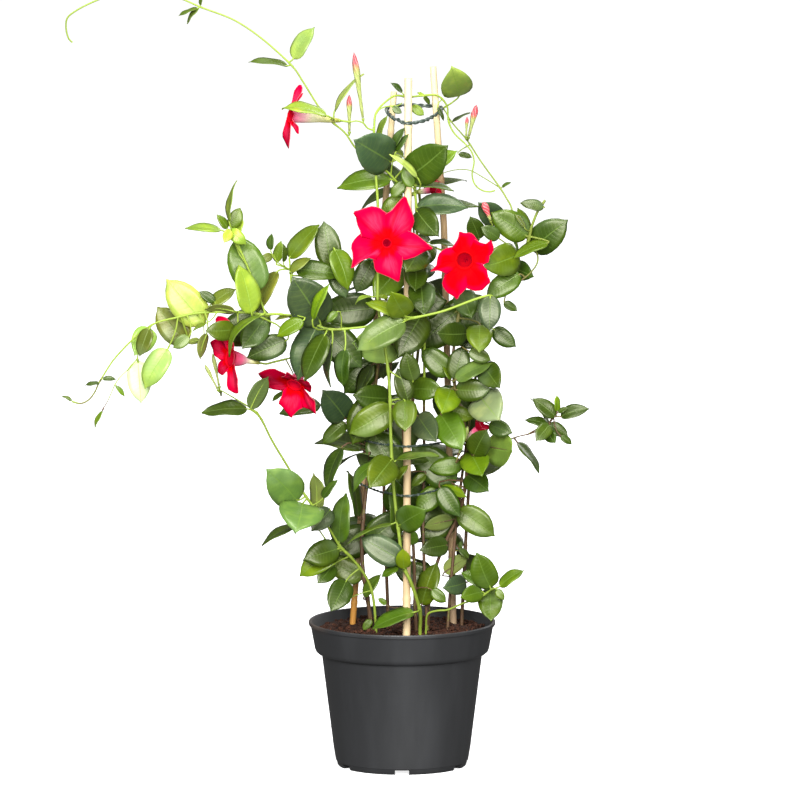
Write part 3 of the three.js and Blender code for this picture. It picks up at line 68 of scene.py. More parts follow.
# Each stem, as axes. An axis has a radius, its foot across and back where it stands in the soil, its
# route of places across, down and back, and its leaves.
# A leaf is its base across and down, its tip across and down, the width seen, how far along the stem
# its stalk starts from the nearest place, and how far behind that place it lies where its CAD node
# doesn't say. Then a for a strong arch or u for a blade seen from below, and a letter for its shade.
STEMS = {
    "shoot_runner": (
        (1.9, (419.5, -34), """
         420 612 -44, 411 582 -58, 404 567 -60, 398 527 -62, 393 480 -62, 391 440 -62, 389 380 -62,
         383 335 -60, 378 305 -52, 377.5 273 -50, 378 240 -48, 377.5 208 -46, 375 162 -42,
         373.5 128 -38""", """
         401 560 361 537 27 S; 404 568 403 549 15 B; 398 566 381 576 9 G; 391 524 347 541 4 B;
         400 525 425 510 28 G; 381 463 353 492 12 aG; 391 460 370 486 30 G; 397 460 439 456 6 -8 G;
         413 612 371 629 14 G; 378 143 387 116 6 B; 396 478 408 464 8 G; 408 400 398 368 18 D;
         413 380 406 352 20 16 D; 405 401 405 431 24 G"""),
        (1.1, None, """
         373.6 130 -38, 376 114 -32, 387 101 -20, 396 96.5 -12, 408 98 -8, 425 95.5 -4, 438 96.5 0,
         447 107 3, 448 119 4, 450.5 129 2, 456 136 0, 464 143 -3, 471 151 -4, 474 161 -5, 472 175 -6,
         475 185 -6, 483 191 -6, 491 192 -5, 495 191 -4""", """
         402 93 391 83 5 D; 412 107 424 116 9 B"""),
        (1, None, """
         373.5 132 -38, 368 129 -40, 363 124 -42, 356 122 -43, 351 122.5 -44""", ""),
        (0.7, None, """
         376 116 -33, 380 110 -30, 386 107 -27, 393 107 -22, 399 106 -17, 402 103 -14""", """
         393 108 402 114 7 D"""),
    ),
    "shoot_left_high": (
        (1.2, (407, 8), """
         407 560 10, 408 480 8, 411 400 4, 414 320 0, 415 260 -6, 411 210 -14, 403 190 -21,
         396 181 -26, 387 172 -30, 372 162.5 -34, 356 149 -34, 345 134 -36, 326 117 -38, 304 84 -40,
         295 70 -40, 282 57 -38, 258 36 -34, 234 21 -30, 201 8 -24, 181 0 -20, 140 -11 -14, 101 0 -10,
         77 12 -8, 68 19.5 -6, 67 31 -4, 70 40 -2, 73 43 -1""", """
         294 59 314 28 16 L; 287 67 249 63 6 G; 326 116 283 107 9 Y; 335 111 363 74 4 -8 L;
         390 162 355 141 41 S; 393 147 404 128 8 D; 396 152 408 134 6 -8 D; 403 157 376 144 10 -8 G;
         388 160 400 156 8 Y; 404 188 386 164 14 S; 390 180 337 188 20 -8 G; 404 184 391 198 12 G;
         402 198 380 212 14 G"""),
    ),
    "shoot_upper_mid": (
        (1.7, (427, -8), """
         424 560 -6, 423 520 0, 424 460 2, 424 400 -12, 424 320 -32, 420 270 -34, 417 235 -36,
         415.5 205 -37, 414.5 190 -38, 416 178 -35, 421 171 -32, 424 160 -30, 424 152 -29""", """
         425 173 457 151 17 B; 410 176 447 147 37 D; 422 176 423 150 4 P; 416 187 454 191 5 G;
         416 184 429 173 8 B; 417 208 468 208 20 S; 430 206 480 206 10 -8 D; 417 212 438 237 26 -8 D;
         418 236 431 240 8 D; 430 243 456 246 6 D; 421 262 436 247 15 D; 421 248 406.16 271.75 30 D;
         416 266 415 291 24 -8 D; 421 283 424 315 27 D; 417 178 390 155 6 -16 L; 412 187 403 168 12 G;
         422 314 398 358 34 D"""),
    ),
    "shoot_arm": (
        (1.6, (448, 4), """
         453 560 8, 459 500 8, 467 440 2, 475 380 -14, 485 335 -36, 494 311 -54, 491 297 -68,
         440 312 -74, 405 320 -78, 383 324 -80, 357 328 -80, 327 329 -80, 313 323 -80, 300 320 -80,
         281 314.5 -82, 266 314.5 -84""", """
         404 322 356 350 29 N; 400 315 366 302 13 -8 B; 405 316 392 293 26 -8 B; 320 321 293 278 43 S;
         313 319 329 284 9 -16 B; 298 318 290 298 6 B; 303 321 277 336 14 26 B; 337 312 327 323 8 G;
         325 335 304 381 22 D; 318 326 297 380 30 8 S; 332 345 329 387 7 D; 345 350 343 387 15 D;
         490 298 489 331 22 S; 494 330 516 347 17 D; 324 330 362 368 35 D; 302 318 341 341 30 D;
         268 317 217 339 36 D"""),
        (1.2, None, """
         270 314.5 -83.5, 266 314.5 -84, 250 313 -86, 232 312 -86, 200 313.5 -86, 176 318 -86,
         157 323 -86, 146 330 -85, 135 339 -84, 123 350 -83, 113 362 -82, 103 378 -82, 99 385 -82,
         96 392 -82, 90 400 -82, 82 403 -82, 73 401.5 -82""", """
         252 313 241 265 23 Y; 212 304 236 289 13 O; 235 311 206 308 9 uO; 234 330 207 331 20 G;
         215 302 200 292 10 16 D; 262 316 229 357 6 aB; 264 320 243 349 26 D; 286 341 247 358 24 16 D;
         204 323 167 279 34 P; 186 341 158 307 29 O; 189 337 174 348 12 G; 207 334 200 359 9 uO;
         200 340 188 343 6 uO; 206 324 193 331 4 -8 G; 150 329 140 357 15 O; 150 329 136 355 24 P;
         104 379 117 379 5 D"""),
        (1.1, None, """
         266 314.5 -84, 258 292 -86, 246 262 -88, 233 232 -90""", """
         258 289 237 236 37 G; 229.5 222 236 181 5 Y; 221 231 186 228 8 -8 Y;
         232 228 241 208 14 -16 G; 231 231 247 245 13 -26 aY; 231 231 225 243 10 Y;
         228 229 218 215 8 G; 236 237 243 218 9 -26 Y"""),
        (1.1, None, """
         300 320 -80, 293 296 -72, 291 276 -68, 290 262 -66""", """
         290 258 319 225 18 G; 277 273 256 313 14 O; 297 270 342 275 20 -8 D; 291 272 311 258 9 O"""),
        (0.9, None, """
         291 270 -67, 283 267 -67, 277 265 -68""", """
         272 256 260 262 9 O; 271 250 272 234 7 -8 D; 277 262 281 241 10 B; 284 262 284 244 5 -8 D"""),
        (0.9, None, """
         291 277 -68, 312 276 -62, 333 268 -56, 344 258 -50""", """
         331 265 324 222 26 D; 335 250 349 291 22 -8 -18 G; 334 268 346 299 20 D"""),
        (1.1, None, """
         327 329 -80, 318 341 -72, 305 351 -64, 292 357.5 -60, 286 359.5 -58""", ""),
        (0.9, None, """
         180 317 -86, 176 332 -88, 171 344 -88, 168 350 -88""", """
         168 350 145 389 24 P"""),
        (0.8, None, """
         137 337.5 -84, 139 352 -87, 138 362 -87""", """
         139 362 142 403 24 W"""),
        (0.6, None, """
         138.5 360 -87, 128 371 -86, 120 378 -86, 116 384 -86, 113 391 -86, 108 402 -86, 103 410 -86""", ""),
        (0.8, None, """
         467 441 2, 486 441 -2, 505 440 -8, 520 436 -12, 533 433 -16, 548 424 -18, 557 413 -18""", """
         555 416 533 398 15 D; 561 416 589 408 13 D; 557 411 557 395 6 B; 558 412 568 407 5 -16 D;
         548 424 525 419 9 -8 D; 549 425 536 441 15 -26 D; 546 430 555 443 13 -8 D;
         549 424 568 436 12 D; 561 436 572 444 7 8 D; 548 424 531 398 4 -8 D; 518 443 540 472 9 D"""),
    ),
    "shoot_low_left": (
        (1.5, (376, -20), """
         370 585 -26, 352 558 -36, 341 547 -42, 331 532 -48, 325 521 -52, 309 500 -58, 300 487 -60,
         287 465 -64, 272 440 -68, 262 420 -72, 257 412 -74""", """
         337 552 299 576 22 B; 338 549 304 560 26 -8 D; 333 565 318 583 18 -8 D; 346 581 331 611 24 D;
         350 598 338 605 8 B; 339 543 345 493 20 G; 297 500 268 470 36 N; 303 503 297 530 45 N;
         317 511 315 473 15 uO; 323 497 337 479 8 D; 330 510 312 530 20 S; 251 408 268 376 17 uD;
         247 409 202 413 15 -8 D"""),
        (0.9, None, """
         257 412 -74, 247 405 -75, 234 398 -76, 222 391 -76""", ""),
        (0.9, None, """
         341 548 -42, 330 544 -46, 320 531 -52, 311 521 -57, 300 524 -59""", """
         295 526 261 544 9 D"""),
    ),
    "stem_left": (
        (2.2, (371, 4), """
         366 590 0, 363 570 0, 362 540 8, 365 500 14, 371 450 14, 374 400 8, 380 350 0, 386 300 -8,
         385 262 -14""", """
         361 578 328 560 24 G; 364 597 380 574 10 G; 371 620 363 630 8 G; 358 517 350 470 10 D;
         345 418 323 391 31 S; 345 423 322 443 16 -8 D; 372 365 357 402 12 D; 388 398 353 395 26 D;
         391 409 349 434 30 G; 341 448 325 492 14 D; 320 404 279 413 16 D; 372 262 356 293 22 D;
         400 266 374 297 30 G; 374 308 319 313 35 D; 376 398 352 445 34 D; 375 435 401 484 35 D;
         369 541 407 514 30 D; 392 306 447 301 37 D; 373 363 344 393 27 D"""),
    ),
    "stem_front": (
        (2, (416, -12), """
         415 600 -14, 414 560 -16, 412 530 -16, 408 500 -14, 405 460 -14, 403 420 -18, 405 380 -22,
         408 345 -24, 407 318 -21, 404 295 -18""", """
         398 533 395 477 18 G; 406 460 429 460 10 D; 425 474 411 486 10 G; 423 343 398 349 14 G;
         411 389 443 390 23 G; 418 416 436 441 26 S; 418 537 402 540 14 G; 422 604 436 562 21 G;
         432 590 446 602 12 G; 403 345 351 343 36 uP; 386 604 378 598 5 G"""),
    ),
    "stem_right": (
        (2, (428, 6), """
         430 595 6, 437 564 6, 449 535 5, 457 519 4, 461 508 2, 464 495 -2, 467 470 -8, 468 445 -14,
         462 415 -22, 455 387 -30, 453 360 -32, 456 330 -30, 462 300 -26, 468 275 -22, 474 250 -20,
         480 234 -18""", """
         462 464 428 469 19 G; 470 452 482 475 30 B; 467 475 488 491 24 D; 486 446 513 451 34 uB;
         474 455 487 430 24 16 D; 442 487 467 496 10 B; 440 488 460 517 20 8 D; 460 511 495 536 27 G;
         452 520 424 527 15 uO; 447 545 420 550 20 D; 449 374 421 348 24 D; 451 389 442 413 27 B;
         457 390 491 389 23 8 D; 456 379 492 362 16 G; 455 378 464 345 22 16 D;
         454 378 453 356 5 -16 G; 451 379 443 366 5 26 G; 484 366 499 387 24 D;
         470 352 491 361 14 8 G; 479 395 498 419 37 H; 490 424 512 433 17 26 D; 441 415 462 450 30 G;
         447 409 475 418 16 G; 480 325 479 351 26 G; 462 291 471 317 24 D; 466 334 437 333 24 D;
         478 342 457 343 12 D; 479 239 470 217 18 D; 441 489 415 512 22 -16 G; 456 312 414 348 36 D;
         452 483 411 445 34 D; 459 500 421 539 37 8 D; 434 580 393 567 26 D"""),
    ),
    "stem_right_back": (
        (1.9, (462, 30), """
         464 580 32, 467 520 28, 471 460 22, 477 400 14, 483 350 8, 491 310 0, 506 280 -10,
         518 256 -20, 528 242 -28, 531 228 -30, 538 211 -30, 545 201 -29""", """
         526 236 491 213 28 G; 527 236 518 208 12 -8 G; 518 255 484 267 32 G; 513 268 532 277 20 D;
         547 243 513 258 11 G; 532 249 567 221 31 D; 543 208 520 203 11 D; 498 238 481 227 14 D;
         499 222 479 204 24 -8 S; 524 228 515 214 5 O; 491 311 437 315 36 D; 445 572 468 556 16 uO;
         466 583 444 588 20 S; 460 549 469 559 6 D"""),
        (1, None, """
         518 256 -20, 513 225 -18, 511 207 -14, 507 200 -10, 500 188 0, 481 162 4, 467 141 8,
         455 127 9, 450 120 12, 446 113 15, 443 108 17""", """
         459 96 452 70 32 P; 459 155 472 157.5 6 D"""),
        (0.9, None, """
         529 241 -28, 537 255 -34, 537 263 -36, 531 272 -38, 520 281 -40, 510 288 -42, 505 297 -44,
         504 302 -44""", """
         519 275 485 298 22 G; 504 303 517 311 8 D"""),
        (0.6, None, """
         500 188 0, 483 178 -2, 470 171 -2, 460 170 -2, 445 172.5 -2, 439 176 -4""", ""),
    ),
    "shoot_low_right": (
        (1.2, (426, -26), """
         428 614 -32, 438 611 -36, 447 610 -38, 462 604 -42, 480 597 -46, 491 590 -48, 497 588 -48""", """
         482 592 461 597 18 G; 490 587 477 553 26 G; 492 587 461 572 15 G; 491 590 491 620 25 G;
         500 586 524 570 12 G; 497 590 504 600 8 -8 G"""),
    ),
    "stem_back_left": (
        (1.9, (388, 44), """
         386 560 42, 384 480 33, 388 400 29, 394 320 32, 399 240 26, 402 186 20""", """
         372 535 325 552 33 D; 391 398 415 447 35 D; 390 510 428 470 37 D"""),
    ),
    "stem_back_mid": (
        (1.9, (406, 44), """
         406 560 40, 407 480 31, 413 400 29, 421 320 30, 424 250 30, 419 190 24""", """
         440 390 473 434 35 D"""),
    ),
}

# The far-side leaves of a stem's first axis: the shares of its length where the first and the last
# pair grow, the number of pairs, and the way they aim.
FAR_PAIRS = {
    "stem_left": (0.5, 0.95, 2, 122),
    "stem_right_back": (0.2, 0.68, 4, 112),
    "stem_back_left": (0.24, 1, 5, 112),
    "stem_back_mid": (0.2, 1, 5, 84),
}

# Leaflets and bracts too small for the CAD nodes.
LEAFLETS = {
    "shoot_runner": """
        372 297 355 304 3 0 -1 aY; 379 296 389 298 4 0 -1 B; 424 96 417 93 3 0 -1 Y;
        424 97 430 105 4 0 -1 D; 452 122 470 112 3 0 -1 D; 438 108 444 121 4 0 -1 D""",
    "shoot_left_high": """
        199 9 187 25 4 0 -1 G; 198 9 179 16 3 0 -1 G; 201 6 204 -6 3 0 -1 G""",
    "shoot_arm": """
        291 316 275 320 4 0 -1 O; 100 383 86 385 3.5 0 -1 D; 73 401 63 396 3 0 -1 G;
        117 386 126 397 4 0 -1 B; 103 411 95 428 4 0 -1 B; 285 392 272 401 4 0 29 G;
        460 549 461 541 4 0 -1 D""",
    "stem_right_back": """
        514 240 518 252 3 0 -1 G; 502 187 511 182 3 0 -1 G""",
}

# The shade of a blade: dark, middle, bright, a grey-green that paints a glossy sheen into the colour, light
# green, yellow-green, pale, bluish, olive, and a near-white one that is partly the pale colour of a young
# leaf and partly painted light shining through it.
SHADES = {
    "D": (0.030, 0.062, 0.003),
    "G": (0.064, 0.120, 0.004),
    "B": (0.122, 0.212, 0.004),
    "H": (0.150, 0.215, 0.095), "N": (0.100, 0.180, 0.036),
    "Y": (0.250, 0.350, 0.030),
    "L": (0.290, 0.400, 0.085),
    "P": (0.245, 0.370, 0.062),
    "S": (0.046, 0.082, 0.034),
    "O": (0.115, 0.140, 0.014),
    "W": (0.600, 0.690, 0.330),
}

# A bloom: the middle of its mouth on the sheet, the way it faces, the length of its tube, the stem
# and the place that it grows from, and its lobes: the angle, reach and bend forward of the tip, and
# the angle and reach of the notch before it. Then the colours of its face, edge and sheen.
CRIMSON = ((0.70, 0.000, 0.036), (0.66, 0.000, 0.034), (0.74, 0.024, 0.080))
SCARLET = ((0.68, 0.000, 0.002), (0.60, 0.000, 0.034), (0.70, 0.000, 0.003))
DARK_RED = ((0.52, 0.002, 0.022), (0.42, 0.002, 0.020), (0.60, 0.020, 0.060))
BLOOMS = {
    "bloom_1": ((387, 243.7, -74), (0.05, -0.97, 0.2), 26, "shoot_runner", (377.7, 264, -49.6),
                ((69, 51, 0, 22, 24), (138, 46, 0, 89, 29), (215, 44.5, 0, 160, 26.6),
                 (287, 41, 0, 231, 20.6), (352, 47, 0, 313, 20.5)), CRIMSON),
    "bloom_2": ((464, 261, -62), (-0.1, -0.97, 0.15), 26, "shoot_upper_mid", (417.5, 240, -35.7),
                ((101, 29.8, 0, 59, 24), (197, 37, 0, 132, 17.8), (260, 40.6, 0, 213, 22.4),
                 (322, 34.5, 0, 273, 26), (398, 34.5, 0, 346, 18)), SCARLET),
    "bloom_3": ((290, 117, -66), (-0.9, -0.42, 0.15), 54, "shoot_runner", (351, 122.5, -44),
                ((12, 10, 0, 330, 8), (82, 34, -12, 58, 9), (103, 31, -38, 94, 10),
                 (272, 33.5, 0, 212, 9), (304, 23, -20, 290, 9)), CRIMSON),
    "bloom_4": ((230, 358, -90), (-0.82, -0.52, 0.22), 34, "shoot_arm", (286, 359.5, -58),
                ((20, 15, 55, 325, 11), (112, 46, 18, 66, 14), (155, 34, 16, 122, 15),
                 (215, 26, 0, 185, 14), (298, 40, 0, 262, 13)), CRIMSON),
    "bloom_5": ((294, 386, -64), (-0.35, -0.72, -0.6), 34, "shoot_arm", (305, 351, -64),
                ((24, 28, 20, 346, 20), (84, 24, 20, 54, 16), (143, 38, 10, 104, 19),
                 (254, 35, 35, 200, 14), (308, 37, 30, 280, 25)), CRIMSON),
    "bloom_6": ((433, 190, -6), (0.93, -0.3, 0.2), 16, "shoot_upper_mid", (413.6, 195, -36),
                ((40, 14, 48, 10, 8), (112, 13, 48, 78, 8), (184, 13, 48, 148, 8),
                 (256, 14, 48, 222, 8), (328, 14, 48, 292, 8)), DARK_RED),
    "bloom_7": ((479, 427, -28), (0.68, -0.25, 0.7), 20, "stem_right", (467, 447, -13),
                ((40, 13, 50, 10, 8), (112, 13, 50, 78, 8), (184, 13, 50, 148, 8),
                 (256, 13, 50, 222, 8), (328, 13, 50, 292, 8)), DARK_RED),
}

# The edges of the lobes of the two open blooms, right and up from the middle of the mouth.
EDGES = {
    "bloom_1": (
        "22 9, 25 14, 28 21, 26 29, 22 39, 19 48.5, 12.5 42, 6 34, 1 29",
        "0 29, -7 35.5, -14 37.5, -21 35.5, -28 33, -35 31, -31 26, -30 19, -27 13, -25 9",
        "-25 9, -30 7, -34 2, -36.5 -3, -34.5 -9, -34 -17, -36.5 -26.5, -28 -18.5, -19 -14.5, -13 -16",
        "-13 -16, -13 -23, -11.5 -28.5, -4 -31.5, 4 -35, 12.5 -40, 13.5 -30, 15.5 -19, 14 -15",
        "14 -14, 17.5 -17, 28 -14, 35 -10, 41 -7, 47.5 -6.5, 42 -2, 34 5, 28 10, 22 10.5"),
    "bloom_2": (
        "12.5 20.6, 10.2 25, 6.6 28, 0 27.5, -5.6 29.6, -5.1 25, -7.4 19.7, -11.9 13.3",
        "-12 13, -16 13, -21.4 11, -26 6, -27.3 1, -28.2 -5.2, -31.3 -8, -35.4 -11, "
        "-27.7 -9.5, -22.3 -11, -18.7 -12.3",
        "-18.7 -12, -20.5 -16, -22.3 -22.4, -21 -27.4, -17 -32.3, -10 -36.4, -7.4 -40, "
        "-4.2 -33.7, 0.3 -31, 1.2 -26",
        "1.2 -26, 4 -28.3, 10.2 -30.5, 17.5 -30, 23 -24.6, 27 -21.5, 23.8 -15, 23 -8.8, 17.5 -4.3",
        "17.5 -4, 25.2 -1.6, 24.7 3.8, 28 7.5, 30 12, 28.3 17.4, 27 21.5, 22.5 16.5, 16 17.9, 12.5 20.6"),
}

# A bud: its foot and tip on the sheet, its depth, its radius, the stem and the place it grows from,
# and how far up it is still green.
BUDS = {
    "bud_1": ((363, 119), (354, 53), -42, 3.4, "shoot_runner", (363, 124, -42), 0.79),
    "bud_2": ((349.5, 132), (349.4, 95.5), -34, 2.8, "shoot_left_high", (347, 137, -35.6), 0.74),
    "bud_3": ((468.6, 137), (476.5, 105), 4, 3.2, "stem_right_back", (467, 141, 8), 0.64),
    "bud_4": ((466, 136), (467, 117), -4, 1.8, "stem_right_back", (467, 141, 8), 0.7),
    "bud_5": ((490.5, 221), (483, 202), -26, 3.6, "stem_right_back", (512.7, 223, -17.8), 0.3),
    "bud_6": ((459, 453), (468, 426), -38, 2.6, "stem_right", (467.8, 452, -12.2), 1.2),
    "bud_7": ((218, 389), (205, 364), -62, 1.9, "shoot_low_left", (222, 391, -76), 1.2),
    "bud_8": ((219.5, 386), (213, 353), -58, 2.1, "shoot_low_left", (223, 391.6, -76), 1.2),
}


# ---------------------------------------------------------------- shader helpers


class Wire:
    """A shader socket that adds Math nodes when it stands in an expression."""

    def __init__(self, finish, socket):
        self.finish = finish
        self.socket = socket

    def math(self, operation, *others, last=False):
        terms = (*others, self) if last else (self, *others)
        return self.finish.node("Math", {"operation": operation}, dict(enumerate(terms)))

    def __add__(self, other):
        return self.math("ADD", other)

    def __sub__(self, other):
        return self.math("SUBTRACT", other)

    def __rsub__(self, other):
        return self.math("SUBTRACT", other, last=True)

    def __mul__(self, other):
        return self.math("MULTIPLY", other)

    def __truediv__(self, other):
        return self.math("DIVIDE", other)

    def __pow__(self, other):
        return self.math("POWER", other)

    def __abs__(self):
        return self.math("ABSOLUTE")

    __radd__ = __add__
    __rmul__ = __mul__

    def sine(self):
        return self.math("SINE")

    def rise(self, low, high):
        """0 below low, 1 above high and a soft step between."""
        return self.finish.node("MapRange", {"interpolation_type": "SMOOTHSTEP"},
                                {"Value": self, "From Min": low, "From Max": high})


class Finish:
    """A material of nodes round one Principled shader."""

    def __init__(self, name, fixed):
        self.material = bpy.data.materials.new(name)
        self.material.use_nodes = True
        self.tree = self.material.node_tree
        self.shader = self.tree.nodes["Principled BSDF"]
        for socket, value in fixed.items():
            self.shader.inputs[socket].default_value = value

    def node(self, kind, settings=None, values=None, out=0):
        made = self.tree.nodes.new("ShaderNode" + kind)
        for name, setting in (settings or {}).items():
            if name == "stops":
                self.set_stops(made.color_ramp.elements, setting)
            else:
                setattr(made, name, setting)
        for place, value in (values or {}).items():
            if isinstance(value, Wire):
                self.tree.links.new(value.socket, made.inputs[place])
            else:
                made.inputs[place].default_value = value
        return Wire(self, made.outputs[out])

    @staticmethod
    def set_stops(elements, stops):
        while len(elements) < len(stops):
            elements.new(1.0)
        for element, (place, colour) in zip(elements, stops):
            element.position = place
            element.color = (*colour, 1)

    def place(self):
        """Object coordinates."""
        return self.node("TexCoord", out="Object")

    def stretched(self, vector, x, y, z):
        return self.node("Mapping", {"vector_type": "POINT"}, {"Vector": vector, "Scale": (x, y, z)})

    def split(self, vector):
        node = self.node("SeparateXYZ", values={0: vector}).socket.node
        return [Wire(self, socket) for socket in node.outputs]

    def noise(self, vector, scale, detail=3.0, rough=0.5):
        values = {"Vector": vector, "Scale": scale, "Detail": detail, "Roughness": rough}
        return self.node("TexNoise", values=values)

    def mix(self, first, second, share, blend="MIX"):
        first = first if isinstance(first, Wire) else (*first, 1)
        second = second if isinstance(second, Wire) else (*second, 1)
        settings = {"data_type": "RGBA", "blend_type": blend}
        return self.node("Mix", settings, {0: share, 6: first, 7: second}, 2)

    def ramp(self, share, stops):
        return self.node("ValToRGB", {"stops": stops}, {0: share})

    def feed(self, socket, wire):
        self.tree.links.new(wire.socket, self.shader.inputs[socket])

    def relief(self, height, strength, distance):
        values = {"Height": height, "Strength": strength, "Distance": distance}
        self.feed("Normal", self.node("Bump", values=values))


# ---------------------------------------------------------------- mesh helpers


def on_sheet(across, down, back):
    """A place given across and down the upright sheet, and behind it, in millimetres."""
    height = ((SHEET_DOWN - down) - back * math.sin(TILT)) / math.cos(TILT)
    return Vector((across - SHEET_ACROSS, back, height)) * MM


def numbers(text):
    return [float(word) for word in text.split()]


def rounded(vector, unit):
    """The vector with each of its values rounded to a whole number of units."""
    return Vector([math.floor(value / unit + 0.5001) * unit for value in vector])


def smooth_run(points, step):
    """Places about a step apart on a smooth curve through all the points."""
    ends = [points[0] * 2 - points[1], *points, points[-1] * 2 - points[-2]]
    places = [points[0]]
    for a, b, c, d in zip(ends, ends[1:], ends[2:], ends[3:]):
        first = (b - a).length ** 0.5
        second = first + (c - b).length ** 0.5
        third = second + (d - c).length ** 0.5
        count = max(1, round((c - b).length / step))
        for k in range(1, count + 1):
            t = first + (second - first) * k / count
            ab = a.lerp(b, t / first)
            bc = b.lerp(c, (t - first) / (second - first))
            cd = c.lerp(d, (t - second) / (third - second))
            abc = ab.lerp(bc, t / second)
            bcd = bc.lerp(cd, (t - first) / (third - first))
            places.append(abc.lerp(bcd, (t - first) / (second - first)))
    return places


def nearest(places, wanted):
    return min(places, key=lambda place: (place - wanted).length_squared)


def tube_mesh(name, runs, fineness=1):
    """Round tubes, each a list of places, their radii and a material slot, as one mesh."""
    curve = bpy.data.curves.new(name, "CURVE")
    curve.dimensions = "3D"
    curve.bevel_depth = 1.0
    curve.bevel_resolution = fineness
    curve.use_fill_caps = True
    for places, radii, slot in runs:
        spline = curve.splines.new("POLY")
        spline.points.add(len(places) - 1)
        for control, place, radius in zip(spline.points, places, radii):
            control.co = (*place, 1)
            control.radius = radius
        spline.material_index = slot
    holder = bpy.data.objects.new(name, curve)
    mesh = bpy.data.meshes.new_from_object(holder)
    bpy.data.objects.remove(holder)
    bpy.data.curves.remove(curve)
    mesh.materials.clear()
    for polygon in mesh.polygons:
        polygon.use_smooth = True
    return mesh


def keep(name, mesh, nodes, materials):
    """Makes a piece of a mesh: it rides on the root, and stands for its CAD nodes."""
    piece = bpy.data.objects.new(name, mesh)
    bpy.context.collection.objects.link(piece)
    mesh.name = name
    for material in materials:
        mesh.materials.append(material)
    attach(piece, "root")
    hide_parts(*nodes)
    return piece


def finished(bm, name):
    mesh = bpy.data.meshes.new(name)
    bm.to_mesh(mesh)
    bm.free()
    for polygon in mesh.polygons:
        polygon.use_smooth = True
    return mesh


def spun(bm, profile, steps, frame_at=Matrix()):
    """Spins a profile of (radius, height) pairs once round the upright axis of frame_at."""
    chain = [bm.verts.new((radius, 0, height)) for radius, height in profile]
    edges = [bm.edges.new(pair) for pair in zip(chain, chain[1:])]
    bmesh.ops.spin(bm, geom=chain + edges, cent=(0, 0, 0), axis=(0, 0, 1), angle=FULL_TURN,
                   steps=steps, use_merge=True, use_duplicate=False)
    bmesh.ops.transform(bm, matrix=frame_at, verts=bm.verts)
    bmesh.ops.remove_doubles(bm, verts=bm.verts, dist=1e-6)
    bmesh.ops.recalc_face_normals(bm, faces=bm.faces)


def standing(place, direction):
    """The frame at a place whose upright axis points along a direction."""
    return Matrix.Translation(place) @ direction.to_track_quat("Z", "Y").to_matrix().to_4x4()


# ---------------------------------------------------------------- finishes


def plastic_finish(colour):
    finish = Finish("pot_plastic", {"Specular IOR Level": 0.75})
    place = finish.place()
    colour = tuple(c * 0.85 for c in colour)
    cloud = finish.noise(place, 9, 4)
    grain = finish.noise(place, 1400, 2)
    streak = finish.noise(finish.stretched(place, 40, 40, 5), 1, 4)
    tone = finish.mix(colour, tuple(c * 1.5 for c in colour), streak.rise(0.35, 0.8))
    height = finish.split(place)[2]
    dust = height.rise(0.137, 0.146) * cloud.rise(0.45, 0.7)
    finish.feed("Base Color", finish.mix(tone, (0.16, 0.11, 0.08), dust * 0.5))
    finish.feed("Roughness", 0.36 + cloud * 0.2)
    finish.relief(grain * 0.5 + cloud, 0.25, 0.0008)
    return finish.material


def soil_finish(colour):
    finish = Finish("peat", {"Specular IOR Level": 0.25})
    place = finish.place()
    lumps = finish.noise(place, 90, 6, 0.7)
    crumbs = finish.noise(place, 420, 4, 0.7)
    tone = finish.ramp(lumps * 0.6 + crumbs * 0.4, (
        (0.34, tuple(c * 0.10 for c in colour)), (0.5, tuple(c * 0.58 for c in colour)),
        (0.68, tuple(c * 1.9 for c in colour))))
    finish.feed("Base Color", tone)
    finish.feed("Roughness", 0.78 + crumbs * 0.2)
    finish.relief(lumps + crumbs, 0.9, 0.003)
    return finish.material


def bamboo_finish(name, colour, foot, pale_from, pale_to, cream):
    """Bamboo with its own colour at the foot, that turns cream and then bleached toward the top."""
    finish = Finish(name + "_skin", {"Specular IOR Level": 0.4})
    place = finish.place()
    fibre = finish.noise(finish.stretched(place, 900, 900, 12), 1, 4, 0.6)
    patch = finish.noise(finish.stretched(place, 60, 60, 14), 1, 4)
    height = finish.split(place)[2]
    pale = tuple(min(1, c * 1.9 + 0.12) for c in colour)
    brown = (0.30, 0.15, 0.06)
    tone = finish.mix(colour, (0.86, 0.70, 0.42), cream)
    tone = finish.mix(tone, brown, patch.rise(0.48, 0.78) * 0.65)
    tone = finish.mix(foot, tone, height.rise(0.155, 0.205))
    tone = finish.mix(tone, pale, height.rise(pale_from, pale_to))
    tone = finish.mix(tone, (0.55, 0.36, 0.17), fibre.rise(0.5, 0.8) * 0.5)
    finish.feed("Base Color", tone)
    finish.feed("Roughness", 0.42 + fibre * 0.25)
    finish.relief(fibre, 0.4, 0.0006)
    return finish.material


def wire_finish():
    finish = Finish("coated_wire", {"Specular IOR Level": 0.5})
    place = finish.place()
    wear = finish.noise(place, 160, 4)
    finish.feed("Base Color", finish.mix((0.045, 0.068, 0.054), (0.24, 0.28, 0.24), wear.rise(0.48, 0.72)))
    finish.feed("Roughness", 0.35 + wear * 0.3)
    finish.relief(wear, 0.3, 0.0008)
    return finish.material


def bark_finish(name, low, high, turn):
    """Stem bark that turns from one colour to another with height."""
    finish = Finish(name, {"Specular IOR Level": 0.4})
    place = finish.place()
    spots = finish.noise(finish.stretched(place, 500, 500, 160), 1, 3)
    patch = finish.noise(place, 30, 3)
    height = finish.split(place)[2] + (patch - 0.5) * 0.3
    tone = finish.mix(low, high, height.rise(*turn))
    tone = finish.mix(tone, tuple(c * 1.7 for c in high), spots.rise(0.55, 0.75) * 0.4)
    finish.feed("Base Color", tone)
    finish.feed("Roughness", 0.42 + spots * 0.25)
    finish.relief(spots, 0.35, 0.0006)
    return finish.material


